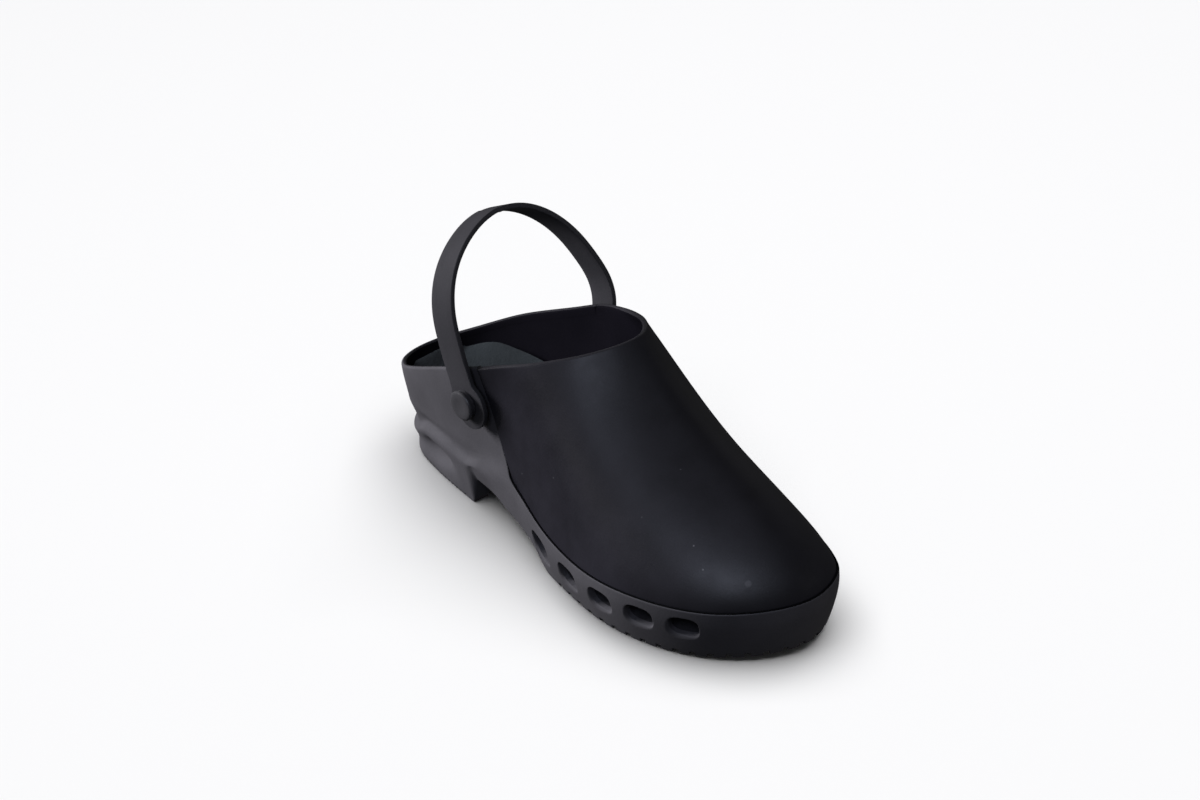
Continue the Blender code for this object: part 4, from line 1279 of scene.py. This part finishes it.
HEAD = STRAP_THICK + 0.25
TOPZ = HEAD + BUTTON_PROUD
PROFILE = [(0.0, TOPZ - 0.25), (2.0, TOPZ - 0.24), (3.3, TOPZ - 0.12), (4.4, TOPZ), (6.2, TOPZ - 0.03), (7.1, TOPZ - 0.16),
           (7.6, TOPZ - 0.45), (7.9, TOPZ - 0.9), (7.95, TOPZ - 1.5), (BUTTON_RADIUS, TOPZ - 2.4), (BUTTON_RADIUS, HEAD + 0.4),
           (BUTTON_RADIUS - 0.3, HEAD), (SHANK_RADIUS, HEAD), (SHANK_RADIUS, -2.9), (4.6, -2.9), (4.8, -3.1), (4.8, -3.4),
           (4.4, -3.7), (0.0, -3.8)]
buttons = [turned("press_button_" + word, PROFILE, side, [BUTTON_MAT]) for side, word in ((-1, "lateral"), (1, "medial"))]

for obj, nodes, slot_name in (
        (sole_piece, ["sole"], "sole_rubber"), (quarter_piece, ["upper"], "upper_rubber"),
        (vamp_piece, ["upper"], "upper_rubber"), (insole_piece, ["insole"], "insole_foam"),
        (strap_piece, ["strap"], "strap_rubber"), (field_piece, ["sole"], "sole_rubber"),
        (ribs_piece, [], "sole_rubber"), (lining_piece, [], "upper_rubber"), (groove_shade_piece, [], "upper_rubber"), (buttons[0], ["button_lateral"], "button_rubber"),
        (buttons[1], ["button_medial"], "button_rubber")):
    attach(obj, "root")
    if nodes:
        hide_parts(*nodes)

# ------------------------------------------------------------------ floor, light, camera
floor_mesh = bpy.data.meshes.new("floor")
floor_mesh.from_pydata([(-6, -6, -0.0004), (6, -6, -0.0004), (6, 6, -0.0004), (-6, 6, -0.0004)], [], [(0, 1, 2, 3)])
floor = bpy.data.objects.new("floor", floor_mesh)
bpy.context.scene.collection.objects.link(floor)
floor_mat, floor_tree, floor_shader = nodes_of("pale_floor", (0.86, 0.86, 0.87), 0.9)
floor_shader.inputs["Specular IOR Level"].default_value = 0.1
floor_shader.inputs["Emission Color"].default_value = (1.0, 1.0, 1.0, 1.0)
floor_shader.inputs["Emission Strength"].default_value = 0.0
floor_mesh.materials.append(floor_mat)
floor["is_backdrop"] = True
floor.visible_glossy = False
floor.visible_diffuse = False

world = bpy.data.worlds.new("studio")
bpy.context.scene.world = world
world.use_nodes = True
world.node_tree.nodes["Background"].inputs["Color"].default_value = (1.0, 1.0, 1.0, 1.0)


def gradient_world(world, below, above):
    """Soft studio surround: dark under the horizon, even light above it."""
    tree = world.node_tree
    shade = tree.nodes["Background"]
    coords = tree.nodes.new("ShaderNodeTexCoord").outputs["Generated"]
    parts = tree.nodes.new("ShaderNodeSeparateXYZ")
    tree.links.new(coords, parts.inputs[0])
    level = tree.nodes.new("ShaderNodeMapRange")
    level.interpolation_type = "SMOOTHSTEP"
    level.inputs["From Min"].default_value, level.inputs["From Max"].default_value = -0.35, 0.25
    level.inputs["To Min"].default_value, level.inputs["To Max"].default_value = below, above
    tree.links.new(parts.outputs["Z"], level.inputs["Value"])
    tree.links.new(level.outputs[0], shade.inputs["Strength"])


def softbox(name, place, aim, width, height, power, colour=(1.0, 1.0, 1.0)):
    data = bpy.data.lights.new(name, "AREA")
    data.shape = "RECTANGLE"
    data.size, data.size_y = width, height
    data.energy = power
    data.color = colour
    obj = bpy.data.objects.new(name, data)
    bpy.context.scene.collection.objects.link(obj)
    obj.location = place
    obj.rotation_euler = (Vector(aim) - Vector(place)).to_track_quat("-Z", "Y").to_euler()
    return obj


FLOOR_SET = bpy.data.collections.new("floor_set")
FLOOR_SET.objects.link(floor)
SHOE_SET = bpy.data.collections.new("shoe_set")
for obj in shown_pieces():
    SHOE_SET.objects.link(obj)
overhead = softbox("overhead", (0.1, 0.1, 3.0), (0.0, 0.0, 0.0), 4.0, 4.0, 150.0)
overhead.light_linking.receiver_collection = FLOOR_SET
gradient_world(world, 0.035, 0.075)
key = softbox("key_left", (-1.12, 1.98, 0.80), (0.0, 0.0, 0.05), 1.0, 0.9, 205.0)
key.visible_glossy = False
fill = softbox("front_right", (0.9, -1.5, 0.45), (0.0, -0.1, 0.03), 0.9, 0.5, 9.0)
fill.visible_glossy = False
for lamp in (
        key,
        softbox("left_gloss", (-1.5, 1.4, 0.9), (0.0, 0.0, 0.05), 0.9, 0.8, 4.5),
        softbox("top_front", (-0.60, -0.40, 0.70), (-0.02, -0.10, 0.04), 0.42, 0.34, 2.6, (0.74, 0.80, 1.0)),
        softbox("right_back", (1.6, 0.9, 0.7), (0.0, 0.0, 0.05), 0.6, 0.8, 0.7), fill):
    lamp.light_linking.receiver_collection = SHOE_SET

AZ, EL, ROLL = -0.6998, 0.5763, -0.06482
back = Vector((math.sin(AZ) * math.cos(EL), -math.cos(AZ) * math.cos(EL), math.sin(EL)))
right = Vector((math.cos(AZ), math.sin(AZ), 0.0))
up = back.cross(right)
r2 = right * math.cos(ROLL) + up * math.sin(ROLL)
u2 = up * math.cos(ROLL) - right * math.sin(ROLL)
camera_data = bpy.data.cameras.new("camera")
camera_data.sensor_width = 36.0
camera_data.lens = 3322.0 * 36.0 / 1200.0
camera_data.clip_start, camera_data.clip_end = 0.05, 50.0
camera = bpy.data.objects.new("camera", camera_data)
bpy.context.scene.collection.objects.link(camera)
place = Vector(((-884.3 - MID_X) * MM, (MID_T - 1193.0 - 0.0) * MM, 969.3 * MM))
camera.matrix_world = Matrix(((r2.x, u2.x, back.x, place.x), (r2.y, u2.y, back.y, place.y),
                              (r2.z, u2.z, back.z, place.z), (0, 0, 0, 1)))
bpy.context.scene.camera = camera
bpy.context.scene.view_settings.view_transform = "Standard"
bpy.context.scene.view_settings.look = "None"
